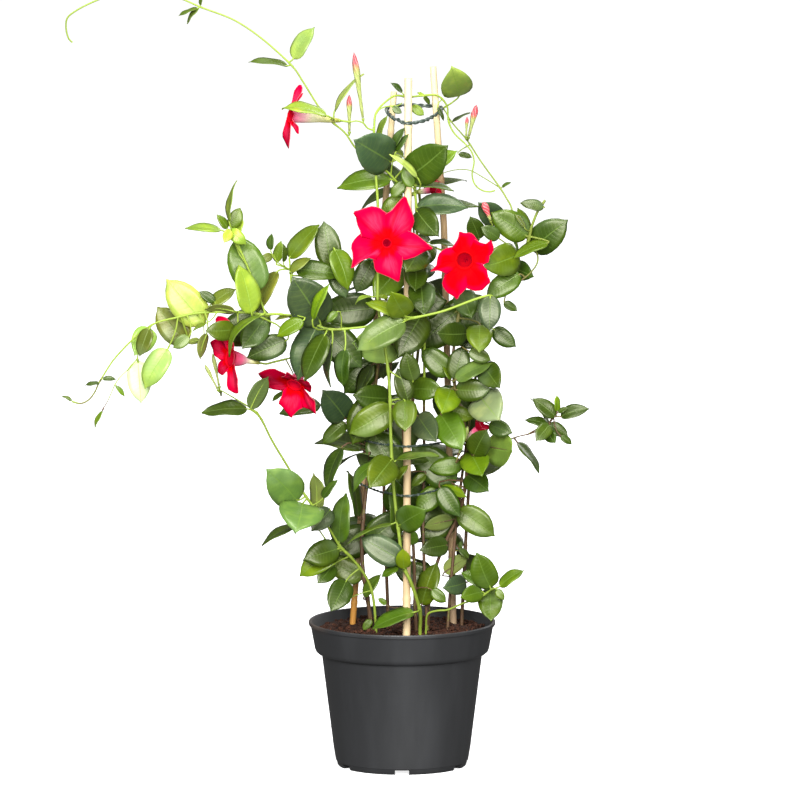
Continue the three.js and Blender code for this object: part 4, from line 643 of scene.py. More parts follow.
def stalk_finish():
    finish = Finish("leaf_stalk", {"Specular IOR Level": 0.4})
    place = finish.place()
    patch = finish.noise(place, 45, 3)
    tone = finish.mix((0.19, 0.31, 0.035), (0.20, 0.14, 0.04), patch.rise(0.52, 0.72) * 0.45)
    finish.feed("Base Color", tone)
    finish.feed("Roughness", 0.38 + patch * 0.2)
    finish.relief(finish.noise(place, 700, 2), 0.2, 0.0004)
    return finish.material


# How many side veins a blade has, and how far they lean forward at its edge, as a share of their pitch.
VEINS = 11.0
VEIN_LEAN = 1.5


def blade_finish(name, upper):
    """Leaf blade: a midrib, side veins that lean forward, quilting between them, and on the upper face a
    painted sheen in soft patches.
    """
    finish = Finish(name, {"Coat Roughness": 0.22, "Specular IOR Level": 0.44 if upper else 0.3,
                           "Specular Tint": (1.0, 1.0, 0.72, 1), "Coat Tint": (1.0, 1.0, 0.8, 1)})
    place = finish.place()
    blade = finish.node("UVMap", {"uv_map": "blade"})
    across, along = finish.split(blade)[:2]
    out = abs(across - 0.5) * 2
    shade = finish.node("Attribute", {"attribute_name": "shade"}, out="Color")
    phase = along * VEINS - (out ** 1.25) * VEIN_LEAN
    ridge = abs(phase.math("FRACT") - 0.5) * 2
    vein = ridge.rise(0.86, 0.98) * (1 - out.rise(0.6, 0.98))
    midrib = 1 - out.rise(0.015, 0.06)
    mottle = finish.noise(place, 60, 3)
    fine = finish.noise(place, 900, 2)
    pale = finish.mix(shade, (1.0, 1.15, 0.55), 1.0, "MULTIPLY")
    bright = finish.mix(pale, (0.22, 0.34, 0.07), 0.45 if upper else 0.7)
    tone = finish.mix(shade, finish.mix(shade, (1.5, 1.35, 1.2), 1.0, "MULTIPLY"), mottle.rise(0.45, 0.7))
    if upper:
        # Painted sheen: a whitish green added to the colour in soft patches, standing in for the gloss where
        # light falls on the blade.
        painted_sheen = finish.noise(place, 24, 2)
        tone = finish.mix(tone, (0.10, 0.13, 0.085), painted_sheen.rise(0.50, 0.74) * 0.55, "ADD")
    else:
        tone = finish.mix(tone, (0.20, 0.28, 0.09), 0.36)
    tone = finish.mix(tone, bright, vein * (0.30 if upper else 0.4))
    tone = finish.mix(tone, bright, midrib * 0.7)
    finish.feed("Base Color", tone)
    finish.feed("Roughness", (0.27 if upper else 0.55) + mottle * 0.16)
    if upper:
        finish.feed("Coat Weight", mottle * 0.24)
    quilt = (ridge ** 2) * (out - 1) * 0.28
    finish.relief(quilt - midrib * 0.8 + fine * 0.08, 0.3, 0.0012)
    return finish.material


def petal_finish(name, colours, inside, pale_at=0.13):
    """Petal: the face is warm at the throat, darker deep inside it as painted shade with a faint
    painted glow there, and has a pink sheen up the middle of each lobe. The outside of the tube fades
    from green through cream and pink."""
    colour, edge, sheen = colours
    finish = Finish(name, {"Specular IOR Level": 0.06, "Specular Tint": (1, 0.1, 0.2, 1),
                           "Emission Strength": 1.0 if inside else 0.0})
    place = finish.place()
    petal = finish.node("UVMap", {"uv_map": "petal"})
    across, along = finish.split(petal)[:2]
    wander = finish.noise(place, 24, 2)
    out = abs(across - 0.5 + (wander - 0.5) * 1.5) * 2
    streak = finish.noise(finish.stretched(petal, 16, 3.0, 1), 1, 5, 0.7)
    mottle = finish.noise(place, 90, 3)
    rim = (0.72, 0.20, 0.24)
    if inside:
        # Painted shade: the face turns darker deep in the throat, where the narrow tube lies in shadow.
        deep = (colour[0] * 0.6, 0.002, colour[2] * 0.4)
        warm = (colour[0] * 1.02, 0.001, 0.003)
        tone = finish.ramp(along, ((0.30, deep), (0.43, deep), (0.475, warm), (0.6, colour), (1.0, colour)))
        reach = along + (streak - 0.5) * 0.34 - out * 0.16
        tone = finish.mix(warm, tone, reach.rise(0.50, 0.62))
        tone = finish.mix(finish.ramp(along, ((0.40, deep), (0.46, warm))), tone, along.rise(0.44, 0.5))
        middle = reach.rise(0.55, 0.68) * (1 - along.rise(0.78, 0.97)) * (1 - out.rise(0.30, 0.85))
        tone = finish.mix(tone, sheen, middle * (0.25 + streak.rise(0.35, 0.6) * 0.75))
        tone = finish.mix(tone, edge, out.rise(0.6, 1.0) * along.rise(0.6, 0.8) * 0.8)
        tone = finish.mix(tone, edge, along.rise(0.84, 0.97) * 0.8)
        # Painted glow: the throat gives off a little crimson light of its own, though it is no lamp, to lift
        # the shadow in the tube.
        painted_throat_glow = ((0.34, (0.16, 0.001, 0.012)), (0.42, (0.10, 0.001, 0.004)), (0.47, (0, 0, 0)))
        finish.feed("Emission Color", finish.ramp(along, painted_throat_glow))
    else:
        tone = finish.ramp(along, ((0.02, (0.50, 0.52, 0.10)), (pale_at, (0.78, 0.74, 0.46)),
                                   (pale_at + 0.08, (0.80, 0.42, 0.44)),
                                   (pale_at + 0.17, (0.76, 0.12, 0.24)), (0.5, edge)))
        tone = finish.mix(tone, rim, streak.rise(0.55, 0.8) * 0.25)
    tone = finish.mix(tone, rim, along.rise(0.985, 1.0) * 0.5)
    # Painted shade: each lobe's colour is multiplied by the darkness painted on it where it is turned from
    # the light.
    shade = finish.node("Attribute", {"attribute_name": "shade"}, out="Color")
    finish.feed("Base Color", finish.mix(tone, shade, 1.0, "MULTIPLY"))
    finish.feed("Roughness", 0.5 + mottle * 0.2)
    crease = 1 - out.rise(0.0, 0.16)
    finish.relief(streak * 0.7 + mottle - crease * 0.5, 0.4, 0.0012)
    return finish.material


def bud_finish(name, green):
    """Bud: yellow-green below and crimson above, along twisted folds."""
    finish = Finish(name, {"Specular IOR Level": 0.4})
    place = finish.place()
    bud = finish.node("UVMap", {"uv_map": "bud"})
    around, along = finish.split(bud)[:2]
    fold = ((around + along * 0.9) * (5 * FULL_TURN)).sine()
    patch = finish.noise(place, 160, 3)
    share = along + (patch - 0.5) * 0.18
    low = finish.mix((0.34, 0.45, 0.09), (0.50, 0.52, 0.20), patch)
    high = finish.mix((0.66, 0.07, 0.09), (0.80, 0.28, 0.27), fold.rise(0.2, 1.0))
    finish.feed("Base Color", finish.mix(low, high, share.rise(green - 0.12, green + 0.08)))
    finish.feed("Roughness", 0.40 + patch * 0.2)
    finish.relief(fold * 0.6 + patch, 0.5, 0.0008)
    return finish.material


# ---------------------------------------------------------------- sizes and colours


def length_setting(name, description, default):
    return bpy.props.FloatProperty(name=name, description=description, default=default,
                                   unit="LENGTH", subtype="DISTANCE")


def colour_setting(name, description, default):
    return bpy.props.FloatVectorProperty(name=name, description=description, default=default,
                                         size=3, subtype="COLOR")


class PotSizes(bpy.types.PropertyGroup):
    plastic: colour_setting("Plastic", "Colour of the pot", (0.028, 0.029, 0.031))
    soil: colour_setting("Soil", "Colour of the soil", (0.105, 0.040, 0.022))
    soil_top: length_setting("Soil top", "Height of the soil's surface", SOIL_TOP * MM)


class PlantSizes(bpy.types.PropertyGroup):
    blade: length_setting("Blade thickness", "Thickness of a leaf blade", 0.0006)
    petal: length_setting("Petal thickness", "Thickness of a petal", 0.0007)
    stalk: length_setting("Stalk radius", "Radius of a leaf stalk", 0.0009)
    cane: colour_setting("Bamboo", "Colour of the canes", (0.56, 0.37, 0.19))
    bark: colour_setting("Bark", "Colour of old stems", (0.13, 0.07, 0.035))
    shoot: colour_setting("Shoots", "Colour of young stems", (0.30, 0.42, 0.045))


# ---------------------------------------------------------------- stage


EYE_DISTANCE = 27
FRAME_WIDTH = 0.8
FRAME_LENS = 36 * EYE_DISTANCE / FRAME_WIDTH


class CLIMBER_OT_stage(bpy.types.Operator):
    """Set up the floor, the soft light and the camera"""
    bl_idname = "climber.stage"
    bl_label = "Stage"

    def execute(self, context):
        scene = context.scene
        world = bpy.data.worlds.new("studio_air")
        world.use_nodes = True
        background = world.node_tree.nodes["Background"]
        background.inputs["Color"].default_value = (1, 1, 1, 1)
        background.inputs["Strength"].default_value = 0.16
        scene.world = world
        scene.view_settings.view_transform = "Standard"
        floor = Finish("studio_floor", {"Specular IOR Level": 0.1, "Emission Color": (1, 1, 1, 1),
                                        "Emission Strength": 0.8})
        cloud = floor.noise(floor.place(), 2, 2)
        floor.feed("Base Color", floor.mix((0.90, 0.90, 0.90), (0.94, 0.94, 0.94), cloud))
        floor.feed("Roughness", 0.8 + cloud * 0.1)
        bm = bmesh.new()
        bmesh.ops.create_circle(bm, cap_ends=True, segments=96, radius=7)
        piece = bpy.data.objects.new("floor", finished(bm, "floor"))
        piece.data.materials.append(floor.material)
        context.collection.objects.link(piece)
        piece.visible_diffuse = False
        piece.visible_glossy = False
        lights = (("window", (-0.8, -3.8, 2.2), 1.9, 225), ("fill", (0.9, -3.9, 1.3), 1.4, 112),
                  ("top", (0.0, -0.5, 3.2), 1.4, 80), ("rear", (1.2, 2.6, 1.8), 1.6, 30))
        for name, place, side, power in lights:
            lamp = bpy.data.lights.new(name, "AREA")
            lamp.shape = "SQUARE"
            lamp.size = side
            lamp.energy = power
            holder = bpy.data.objects.new(name, lamp)
            aim = Vector((0, 0, 0.38)) - Vector(place)
            holder.matrix_world = standing(Vector(place), -aim)
            context.collection.objects.link(holder)
        camera = bpy.data.cameras.new("camera")
        camera.lens = FRAME_LENS
        camera.sensor_width = 36
        camera.clip_end = 90
        eye = bpy.data.objects.new("camera", camera)
        target = on_sheet(400, 400, 0)
        eye.location = target + TOWARD * EYE_DISTANCE
        eye.rotation_euler = (-TOWARD).to_track_quat("-Z", "Y").to_euler()
        context.collection.objects.link(eye)
        scene.camera = eye
        return {"FINISHED"}


# ---------------------------------------------------------------- pot and soil


OUTSIDE = ((0.0, 5.0), (22, 5.0), (23.5, 5.0), (55, 5.0), (56, 0.4), (56.6, 0), (63.6, 0), (64.4, 0.8),
           (65.6, 4.8), (65.9, 5.6), (66.4, 6.0), (68.8, 20.5), (80.1, 110.6), (80.9, 113.0), (84.4, 114.4),
           (86.4, 116.2), (87.4, 119), (91.4, 140.6), (91.9, 142.0), (93.3, 142.4), (93.5, 143.2),
           (93.5, 145.3), (92.9, 146.0), (91.2, 146.0), (90.6, 145.4), (85.9, 119.8), (84.6, 117.6),
           (79.2, 114.2), (78.6, 112.6), (65, 7.5), (0.0, 7.5))
POT_STEPS = 120

# In millimetres, the notches of the foot and the drain holes between them: how far out they are, and
# their sizes.
NOTCHES = 6
NOTCH_AT = 60
NOTCH_SIZE = (18, 14, 9.6)
DRAIN_AT = 40
DRAIN_RADIUS = 4.5


def cut(mesh, cutters):
    """Takes the cutters' shape away from a mesh and returns the new mesh."""
    body = bpy.data.objects.new("cut_body", mesh)
    tool = bpy.data.objects.new("cut_tool", cutters)
    for each in (body, tool):
        bpy.context.collection.objects.link(each)
    modifier = body.modifiers.new("cut", "BOOLEAN")
    modifier.object = tool
    modifier.operation = "DIFFERENCE"
    modifier.solver = "EXACT"
    depsgraph = bpy.context.evaluated_depsgraph_get()
    result = bpy.data.meshes.new_from_object(body.evaluated_get(depsgraph))
    for each in (body, tool):
        bpy.data.objects.remove(each)
    return result


class CLIMBER_OT_pot(bpy.types.Operator):
    """Turn the pot, with its lip, collar, foot notches and drain holes"""
    bl_idname = "climber.pot"
    bl_label = "Pot"

    def execute(self, context):
        sizes = context.scene.climber_pot
        bm = bmesh.new()
        spun(bm, [(radius * MM, height * MM) for radius, height in OUTSIDE], POT_STEPS)
        pot = finished(bm, "pot_shell")
        bm = bmesh.new()
        box = Matrix.Translation((NOTCH_AT * MM, 0, 0))
        box @= Matrix.Diagonal((*(side * MM for side in NOTCH_SIZE), 1))
        hole = Matrix.Translation((DRAIN_AT * MM, 0, 6 * MM))
        for k in range(NOTCHES):
            turn = Matrix.Rotation(math.radians(60 * k - 90), 4, "Z")
            bmesh.ops.create_cube(bm, size=1, matrix=turn @ box)
            turn = Matrix.Rotation(math.radians(60 * k - 60), 4, "Z")
            bmesh.ops.create_cone(bm, cap_ends=True, segments=24, radius1=DRAIN_RADIUS * MM,
                                  radius2=DRAIN_RADIUS * MM, depth=9 * MM, matrix=turn @ hole)
        mesh = cut(pot, finished(bm, "pot_cutters"))
        mesh.set_sharp_from_angle(angle=math.radians(38))
        keep("pot_shell", mesh, ["pot"], [plastic_finish(sizes.plastic)])
        return {"FINISHED"}


# In millimetres: the radii of the soil at its top and foot, and the height of its foot. Then the
# fineness of its top, and the number of its crumbs.
SOIL_RADIUS = 87.4
SOIL_FOOT = 84.6
SOIL_FLOOR = 120.5
SOIL_RINGS = 22
SOIL_STEPS = 72
CRUMBS = 700


class CLIMBER_OT_soil(bpy.types.Operator):
    """Heap the crumbly soil"""
    bl_idname = "climber.soil"
    bl_label = "Soil"

    def execute(self, context):
        sizes = context.scene.climber_pot
        top = sizes.soil_top
        rng = random.Random(PLANT_SEED)
        bm = bmesh.new()
        rim = SOIL_RADIUS * MM
        profile = [(rim * k / SOIL_RINGS, top) for k in range(SOIL_RINGS)]
        profile += [(rim, top - 2 * MM), (SOIL_FOOT * MM, SOIL_FLOOR * MM), (0, SOIL_FLOOR * MM)]
        spun(bm, profile, SOIL_STEPS)
        for vert in bm.verts:
            if vert.co.z > top - 1 * MM:
                lump = noise.noise(vert.co * 55) * 2.4 + noise.noise(vert.co * 190) * 2.2
                vert.co.z += (lump - 0.6) * MM
        for _ in range(CRUMBS):
            radius = rim * math.sqrt(rng.random()) * 0.97
            angle = rng.uniform(0, FULL_TURN)
            size = rng.uniform(1.0, 3.1) * MM
            height = top + rng.uniform(-0.6, 1.3) * MM
            place = Vector((radius * math.cos(angle), radius * math.sin(angle), height))
            shape = Matrix.Translation(place) @ Matrix.Rotation(rng.uniform(0, 3), 4, "Z")
            shape @= Matrix.Diagonal((size, size * rng.uniform(0.5, 1), size * rng.uniform(0.4, 0.8), 1))
            crumb = bmesh.ops.create_icosphere(bm, subdivisions=1, radius=1, matrix=shape)
            for vert in crumb["verts"]:
                vert.co += Vector(noise.noise_vector(vert.co * 900)) * size * 0.35
        keep("soil_heap", finished(bm, "soil_heap"), ["soil"], [soil_finish(sizes.soil)])
        return {"FINISHED"}


# ---------------------------------------------------------------- canes and ties


# A cane: radius, foot, places on the sheet above it, depth in the soil, the heights of its joints,
# and its look: the colour of its foot, the heights where it turns pale, and how creamy it is.
CANES = {
    "cane_front": (4.1, (4.5, -50), ((408.3, 79, -24),), 70, (176, 268, 372, 470, 566, 650),
                   ((0.80, 0.60, 0.34), 0.50, 0.62, 0.45)),
    "cane_left": (3.3, (-49.5, 38), ((394, 92, 8),), 60, (158, 250, 356, 452, 549, 640),
                  ((0.78, 0.36, 0.07), 0.56, 0.68, 0.12)),
    "cane_right": (3.5, (51.5, 38), ((444, 227, 18), (433, 67, 10)), 60, (205, 300, 398, 492, 590, 668),
                   ((0.58, 0.40, 0.24), 0.585, 0.67, 0.08)),
}
CANE_STEP = 2.5


def cane_corners(name):
    """The end of a cane in the soil, its bend where it has one, and its top, in millimetres."""
    _, foot, above, depth, _, _ = CANES[name]
    above = [on_sheet(*place) / MM for place in above]
    ground = Vector((*foot, SOIL_TOP))
    slope = (above[0] - ground) / (above[0].z - ground.z)
    return [ground - slope * depth, *above]


class CLIMBER_OT_canes(bpy.types.Operator):
    """Grow the three bamboo canes with their joints"""
    bl_idname = "climber.canes"
    bl_label = "Canes"

    def execute(self, context):
        colour = context.scene.climber_plant.cane
        rng = random.Random(PLANT_SEED + 1)
        for name, (radius, _, _, _, joints, look) in CANES.items():
            corners = [rounded(corner, 0.1) * MM for corner in cane_corners(name)]
            places = []
            for start, end in zip(corners, corners[1:]):
                count = max(2, round((end - start).length / (CANE_STEP * MM)))
                places += [start.lerp(end, k / count) for k in range(count)]
            places.append(corners[-1])
            radii = []
            for place in places:
                swell = sum(math.exp(-((place.z / MM - joint) / 2.6) ** 2) for joint in joints)
                groove = sum(math.exp(-((place.z / MM - joint - 3.2) / 1.6) ** 2) for joint in joints)
                share = 0.95 + 0.14 * swell - 0.05 * groove + rng.uniform(-0.006, 0.006)
                radii.append(radius * MM * share)
            mesh = tube_mesh(name + "_bamboo", [(places, radii, 0)], 4)
            mesh.set_sharp_from_angle(angle=math.radians(50))
            keep(name + "_bamboo", mesh, [name], [bamboo_finish(name, colour, *look)])
        return {"FINISHED"}


# A ring of wire: its height, how far it stands out between the canes, and its rise from front to back.
RINGS = {
    "ring_top": (660, 0, 0.19),
    "hoop_upper": (327, -8, -0.06),
    "hoop_lower": (282, -8, 0.03),
}
RING_ROUND = ("cane_front", "cane_right", "cane_left")
RING_FLAT = 3.5
RING_SHARES = (0.36, 0.64)
WIRE_RADIUS = 1.2
SEAT_GAP = 0.32


def ring_corners(height, bulge, rise):
    """The corners of a ring that passes outside the three canes, straight where it passes each."""
    centres = []
    for name in RING_ROUND:
        corners = cane_corners(name)
        low, high = next(pair for pair in zip(corners, corners[1:]) if pair[1].z > height)
        centres.append(low.lerp(high, (height - low.z) / (high.z - low.z)))
    middle = sum(centres, Vector()) / len(centres)
    points = []
    for name, centre, following in zip(RING_ROUND, centres, centres[1:] + centres[:1]):
        out = (centre - middle).to_2d().to_3d().normalized()
        along = Vector((-out.y, out.x, 0)) * RING_FLAT
        touch = centre + out * (CANES[name][0] + WIRE_RADIUS + SEAT_GAP)
        points += [touch - along, touch + along]
        radius = ((centre - middle).length + (following - middle).length) / 2 + bulge
        for share in RING_SHARES:
            way = (centre.lerp(following, share) - middle).to_2d().to_3d().normalized()
            points.append(middle + way * radius)
    start = points.pop()
    out = (start - middle).to_2d().to_3d().normalized()
    points = [start, *points, start + out * (2 * WIRE_RADIUS + SEAT_GAP)]
    return [Vector((x, y, height + rise * (y - middle.y))) for x, y, _ in points]


# A ring is twisted from two strands: the length of a twist, and how far a strand lies from the middle
# and how thick it is, in the ring at the top and in the hoops.
WIRE_STEP = 1.25
STRAND_PITCH = 15
STRANDS = {"ring_top": (1.0, 1.6)}
LOOSE_STRANDS = (0.6, 1)


class CLIMBER_OT_ties(bpy.types.Operator):
    """Bend the wire rings that hold the canes together"""
    bl_idname = "climber.ties"
    bl_label = "Ties"

    def execute(self, context):
        finish = wire_finish()
        for name, ring in RINGS.items():
            away, thick = STRANDS.get(name, LOOSE_STRANDS)
            corners = [rounded(corner, 0.1) * MM for corner in ring_corners(*ring)]
            middle = smooth_run(corners, WIRE_STEP * MM)
            strands = []
            for start in (0, math.pi):
                places = []
                for k, place in enumerate(middle):
                    way = (middle[min(k + 1, len(middle) - 1)] - middle[max(k - 1, 0)]).normalized()
                    level = way.cross(UP).normalized()
                    turn = start + FULL_TURN * k * WIRE_STEP / STRAND_PITCH
                    aside = level * math.cos(turn) + way.cross(level) * math.sin(turn)
                    places.append(place + aside * away * MM)
                radii = [(0.72 + 0.12 * noise.noise(place * 300)) * thick * MM for place in places]
                strands.append((places, radii, 0))
            mesh = tube_mesh(name + "_wire", strands, 1)
            keep(name + "_wire", mesh, [name], [finish])
        return {"FINISHED"}


# ---------------------------------------------------------------- stems and leaves


# In millimetres: how far apart the places of a stem's curve lie, about.
STEM_STEP = 3


def stem_curves(node):
    """The smooth curves of a stem: its radius and places. A branch starts on the curves before it."""
    curves = []
    for radius, foot, route, _ in STEMS[node]:
        points = [on_sheet(*numbers(place)) / MM for place in route.split(",")]
        if foot:
            across, back = foot
            points[:0] = [Vector((across - SHEET_ACROSS, back, SOIL_TOP - FOOT_DEPTH)),
                          Vector((across - SHEET_ACROSS, back, SOIL_TOP + FOOT_RISE))]
        points = [rounded(point, 1) * MM for point in points]
        if not foot:
            before = [place for _, places in curves for place in places]
            points[0] = nearest(before, points[0])
        curves.append((radius * MM, smooth_run(points, STEM_STEP * MM)))
    return curves


# A blade is as long as the sheet shows, or longer where it is seen to be broad for that.
BROADEST = 0.66
SLENDEREST = 0.56
LONGEST_BLADE = 58
BLADE_ARCH = 0.05
STRONG_ARCH = 0.2
STALK_LEAD = 3

# How near a corner of a CAD node has to be, and what its depth is divided by in the tree of corners
# as the sheet shows them.
CORNER_NEAR = 0.05
FLATTEN = 1e4
TIP_REACH = 0.5

# The rule for the far-side leaves: how far a pair spreads, how its blades droop and roll, and how its
# lengths and stalks vary, each as a middle value, a wave and its pace.
SPREAD = (28, 26, 1.9)
DROOP = (-0.3, 0.45, 2.3)
ROLL = (0, 0.35, 1.3)
LENGTH = (50, 7, 2.7)
STALK = (9, 4, 3.1)
FAR_WIDTH = 0.6
FAR_ARCH = 0.09
FAR_REACH = 40
FAR_NEAR = 4.5

# The stations of a CAD blade, as shares of its length and of its width, and its fold.
CAD_STATIONS = ((0.2, 0.84), (0.5, 1.02), (0.8, 0.74))
CAD_FOLD = 0.1


def node_corners(node):
    """Two trees of the corners of a CAD node, in millimetres: as they lie, and as the sheet shows them."""
    vertices = bpy.data.objects[node].data.vertices
    trees = kdtree.KDTree(len(vertices)), kdtree.KDTree(len(vertices))
    for vertex in vertices:
        corner = bpy.data.objects[node].matrix_world @ vertex.co / MM
        trees[0].insert(corner, vertex.index)
        trees[1].insert((corner.x, corner.dot(UP), corner.y / FLATTEN), vertex.index)
    for tree in trees:
        tree.balance()
    return trees


def sheet_leaf(words, places, shown):
    """The leaf that a row of the sheet describes. The corner of the CAD node that the sheet shows at
    its tip says how deep it lies, and without one it lies as deep as its stem."""
    *values, traits = words.split()
    values = [float(value) for value in values] + [0, None][len(values) - 5:]
    across, down, tip_across, tip_down, seen, step, back = values
    run, rise = tip_across - across, down - tip_down
    reach = math.hypot(run, rise)
    along = (RIGHT * run + UP * rise) / reach
    beside = (RIGHT * rise - UP * run) / reach
    length = max(reach, min(seen / BROADEST, LONGEST_BLADE))
    width = max(seen, SLENDEREST * length)
    lean = math.acos(reach / length)
    axis = along * math.cos(lean) + TOWARD * math.sin(lean)
    facing = TOWARD * math.cos(lean) - along * math.sin(lean)
    under = -1 if "u" in traits else 1
    roll = math.acos(seen / width) * -under * (-1 if beside.z < 0 else 1)
    start = on_sheet(across, down, 0) / MM - axis * STALK_LEAD
    away = [math.hypot((place - start).x, (place - start).dot(UP)) for place in places]
    spot = away.index(min(away))
    if back is None:
        tip = (tip_across - SHEET_ACROSS, SHEET_DOWN - tip_down)
        met = [corner for corner, _, _ in shown.find_range((*tip, 0), TIP_REACH)
               if math.dist(corner[:2], tip) < CORNER_NEAR]
        depths = [corner[2] * FLATTEN - length * axis.y for corner in met]
        depth = min(depths, key=lambda each: abs(each - places[spot].y), default=places[spot].y)
    else:
        depth = places[spot].y + back
    base = on_sheet(across, down, depth) / MM
    spot = min(max(0, spot + round(step / STEM_STEP)), len(places) - 1)
    return {
        "base": base,
        "tip": base + axis * length,
        "upper": (facing * math.cos(roll) - beside * math.sin(roll)) * under,
        "width": width,
        "root": places[spot],
        "arch": STRONG_ARCH if "a" in traits else BLADE_ARCH,
        "shade": traits[-1],
    }


def wave(values, turn, more=0):
    middle, swing, pace = values
    return middle + swing * math.sin(pace * turn + more)


def place_at(places, share):
    """The place at a share of the way along a run."""
    steps = [(b - a).length for a, b in zip(places, places[1:])]
    left = share * sum(steps)
    for step, a, b in zip(steps, places, places[1:]):
        if left <= step:
            return a.lerp(b, left / step)
        left -= step
    return places[-1]


def cad_edge(leaf):
    """Where the edge of a blade has its corners in the CAD node."""
    run = leaf["tip"] - leaf["base"]
    side = run.normalized().cross(leaf["upper"])
    edge = []
    for share, wide in CAD_STATIONS:
        half = leaf["width"] / 2 * wide
        rise = 4 * leaf["arch"] * run.length * share * (1 - share) + CAD_FOLD * half
        middle = leaf["base"] + run * share + leaf["upper"] * rise
        edge += [middle + side * half, middle - side * half]
    return edge


def move_to_node(leaf, corners):
    """How far a far-side leaf is moved, mostly forward or back, to lie on its CAD node's corners."""
    edge = cad_edge(leaf)
    best, most = None, 2
    for tip, _, _ in corners.find_range(leaf["tip"], FAR_REACH):
        move = tip - leaf["tip"]
        if (move - TOWARD * move.dot(TOWARD)).length < FAR_NEAR:
            met = sum(corners.find(place + move)[2] < CORNER_NEAR for place in edge)
            if met > most:
                best, most = move, met
    return best


def far_leaves(first, last, pairs, aim, places, corners):
    """Opposite pairs of leaves on the far side of an axis, each pair a quarter turn on from the last.
    Each lies as far back as its CAD node has it, and one that the node lacks is left out."""
    leaves = []
    for turn in range(pairs):
        root = place_at(places, first + (last - first) * turn / (pairs - 1))
        for side in (-1, 1):
            heading = math.radians(aim + side * wave(SPREAD, turn))
            axis = Vector((math.cos(heading), math.sin(heading), wave(DROOP, turn, side))).normalized()
            level = Vector((math.sin(heading), -math.cos(heading), wave(ROLL, turn, 2 * side)))
            length = wave(LENGTH, turn, side)
            leaf = {"base": root + axis * wave(STALK, turn), "upper": level.cross(axis).normalized(),
                    "width": length * FAR_WIDTH, "root": root, "arch": FAR_ARCH, "shade": "D"}
            leaf["tip"] = leaf["base"] + axis * length
            move = move_to_node(leaf, corners)
            if move:
                leaf["base"] += move
                leaf["tip"] += move
                leaves.append(leaf)
    return leaves


@functools.cache
def stem_leaves(node):
    """Every leaf of a stem, in metres: those of the sheet, the far-side ones and the leaflets."""
    corners, shown = node_corners(node)
    curves = [[place / MM for place in places] for _, places in stem_curves(node)]
    everywhere = [place for places in curves for place in places]
    leaves = []
    for (*_, rows), places in zip(STEMS[node], curves):
        leaves += [sheet_leaf(words, places, shown) for words in rows.split(";") if words.strip()]
    if node in FAR_PAIRS:
        leaves += far_leaves(*FAR_PAIRS[node], curves[0], corners)
    rows = LEAFLETS.get(node, "")
    leaves += [sheet_leaf(words, everywhere, shown) for words in rows.split(";") if words.strip()]
    for leaf in leaves:
        leaf["base"] = rounded(leaf["base"], 1) * MM
        leaf["tip"] = rounded(leaf["tip"], 1) * MM
        leaf["root"] = leaf["root"] * MM
        leaf["upper"] = rounded(leaf["upper"].normalized(), 1 / 99)
        leaf["width"] = round(leaf["width"]) * MM
        leaf["shade"] = SHADES[leaf["shade"]]
    return leaves


BLADE_ALONG = (0, 0.03, 0.09, 0.19, 0.32, 0.47, 0.62, 0.75, 0.86, 0.94, 1)
BLADE_HALVES = (0.05, 0.42, 0.72, 0.93, 1.01, 1.01, 0.94, 0.78, 0.52, 0.19, 0.02)
BLADE_ACROSS = 6
BLADE_ROWS = len(BLADE_ALONG) - 1


def blade_pattern():
    """A flat grid that every blade starts as, with its own map."""
    bm = bmesh.new()
    layer = bm.loops.layers.uv.new("blade")
    bmesh.ops.create_grid(bm, x_segments=BLADE_ACROSS, y_segments=BLADE_ROWS, size=1)
    for face in bm.faces:
        for loop in face.loops:
            x, y = loop.vert.co.xy
            loop[layer].uv = ((x + 1) / 2, BLADE_ALONG[round((y + 1) / 2 * BLADE_ROWS)])
    mesh = bpy.data.meshes.new("blade_pattern")
    bm.to_mesh(mesh)
    bm.free()
    return mesh


def shape_blade(verts, leaf, rng):
    """Gives a flat grid the shape of one leaf."""
    axis = leaf["tip"] - leaf["base"]
    length = axis.length
    axis.normalize()
    upper = (leaf["upper"] - axis * leaf["upper"].dot(axis)).normalized()
    side = axis.cross(upper)
    half = leaf["width"] / 2
    fold = rng.uniform(0.10, 0.22)
    curl = rng.uniform(0.02, 0.14)
    ripple = rng.uniform(0.008, 0.026)
    phase = rng.uniform(0, FULL_TURN)
    twist = rng.uniform(-0.12, 0.12)
    sway = rng.uniform(-0.025, 0.025)
    hook = rng.uniform(0.0, 0.05)
    notch = 0.05 if leaf["width"] > 0.6 * length else 0.02
    point = rng.uniform(0, 0.3)
    for vert in verts:
        x, y = vert.co.x, vert.co.y
        row = round((y + 1) / 2 * BLADE_ROWS)
        along = BLADE_ALONG[row]
        reach = BLADE_HALVES[row] * half * x * (1 - point * along ** 5)
        out = abs(x)
        lift = fold * abs(reach) - curl * half * out ** 3
        lift += ripple * length * out * out * math.sin(along * 9 + phase + (2 if x > 0 else 0))
        lift += 4 * leaf["arch"] * length * along * (1 - along) + twist * reach * along
        lift -= hook * length * along ** 4
        ahead = along * length - notch * length * out * (1 - along) ** 6
        aside = reach + sway * length * math.sin(math.pi * along)
        vert.co = leaf["base"] + axis * ahead + side * aside + upper * lift


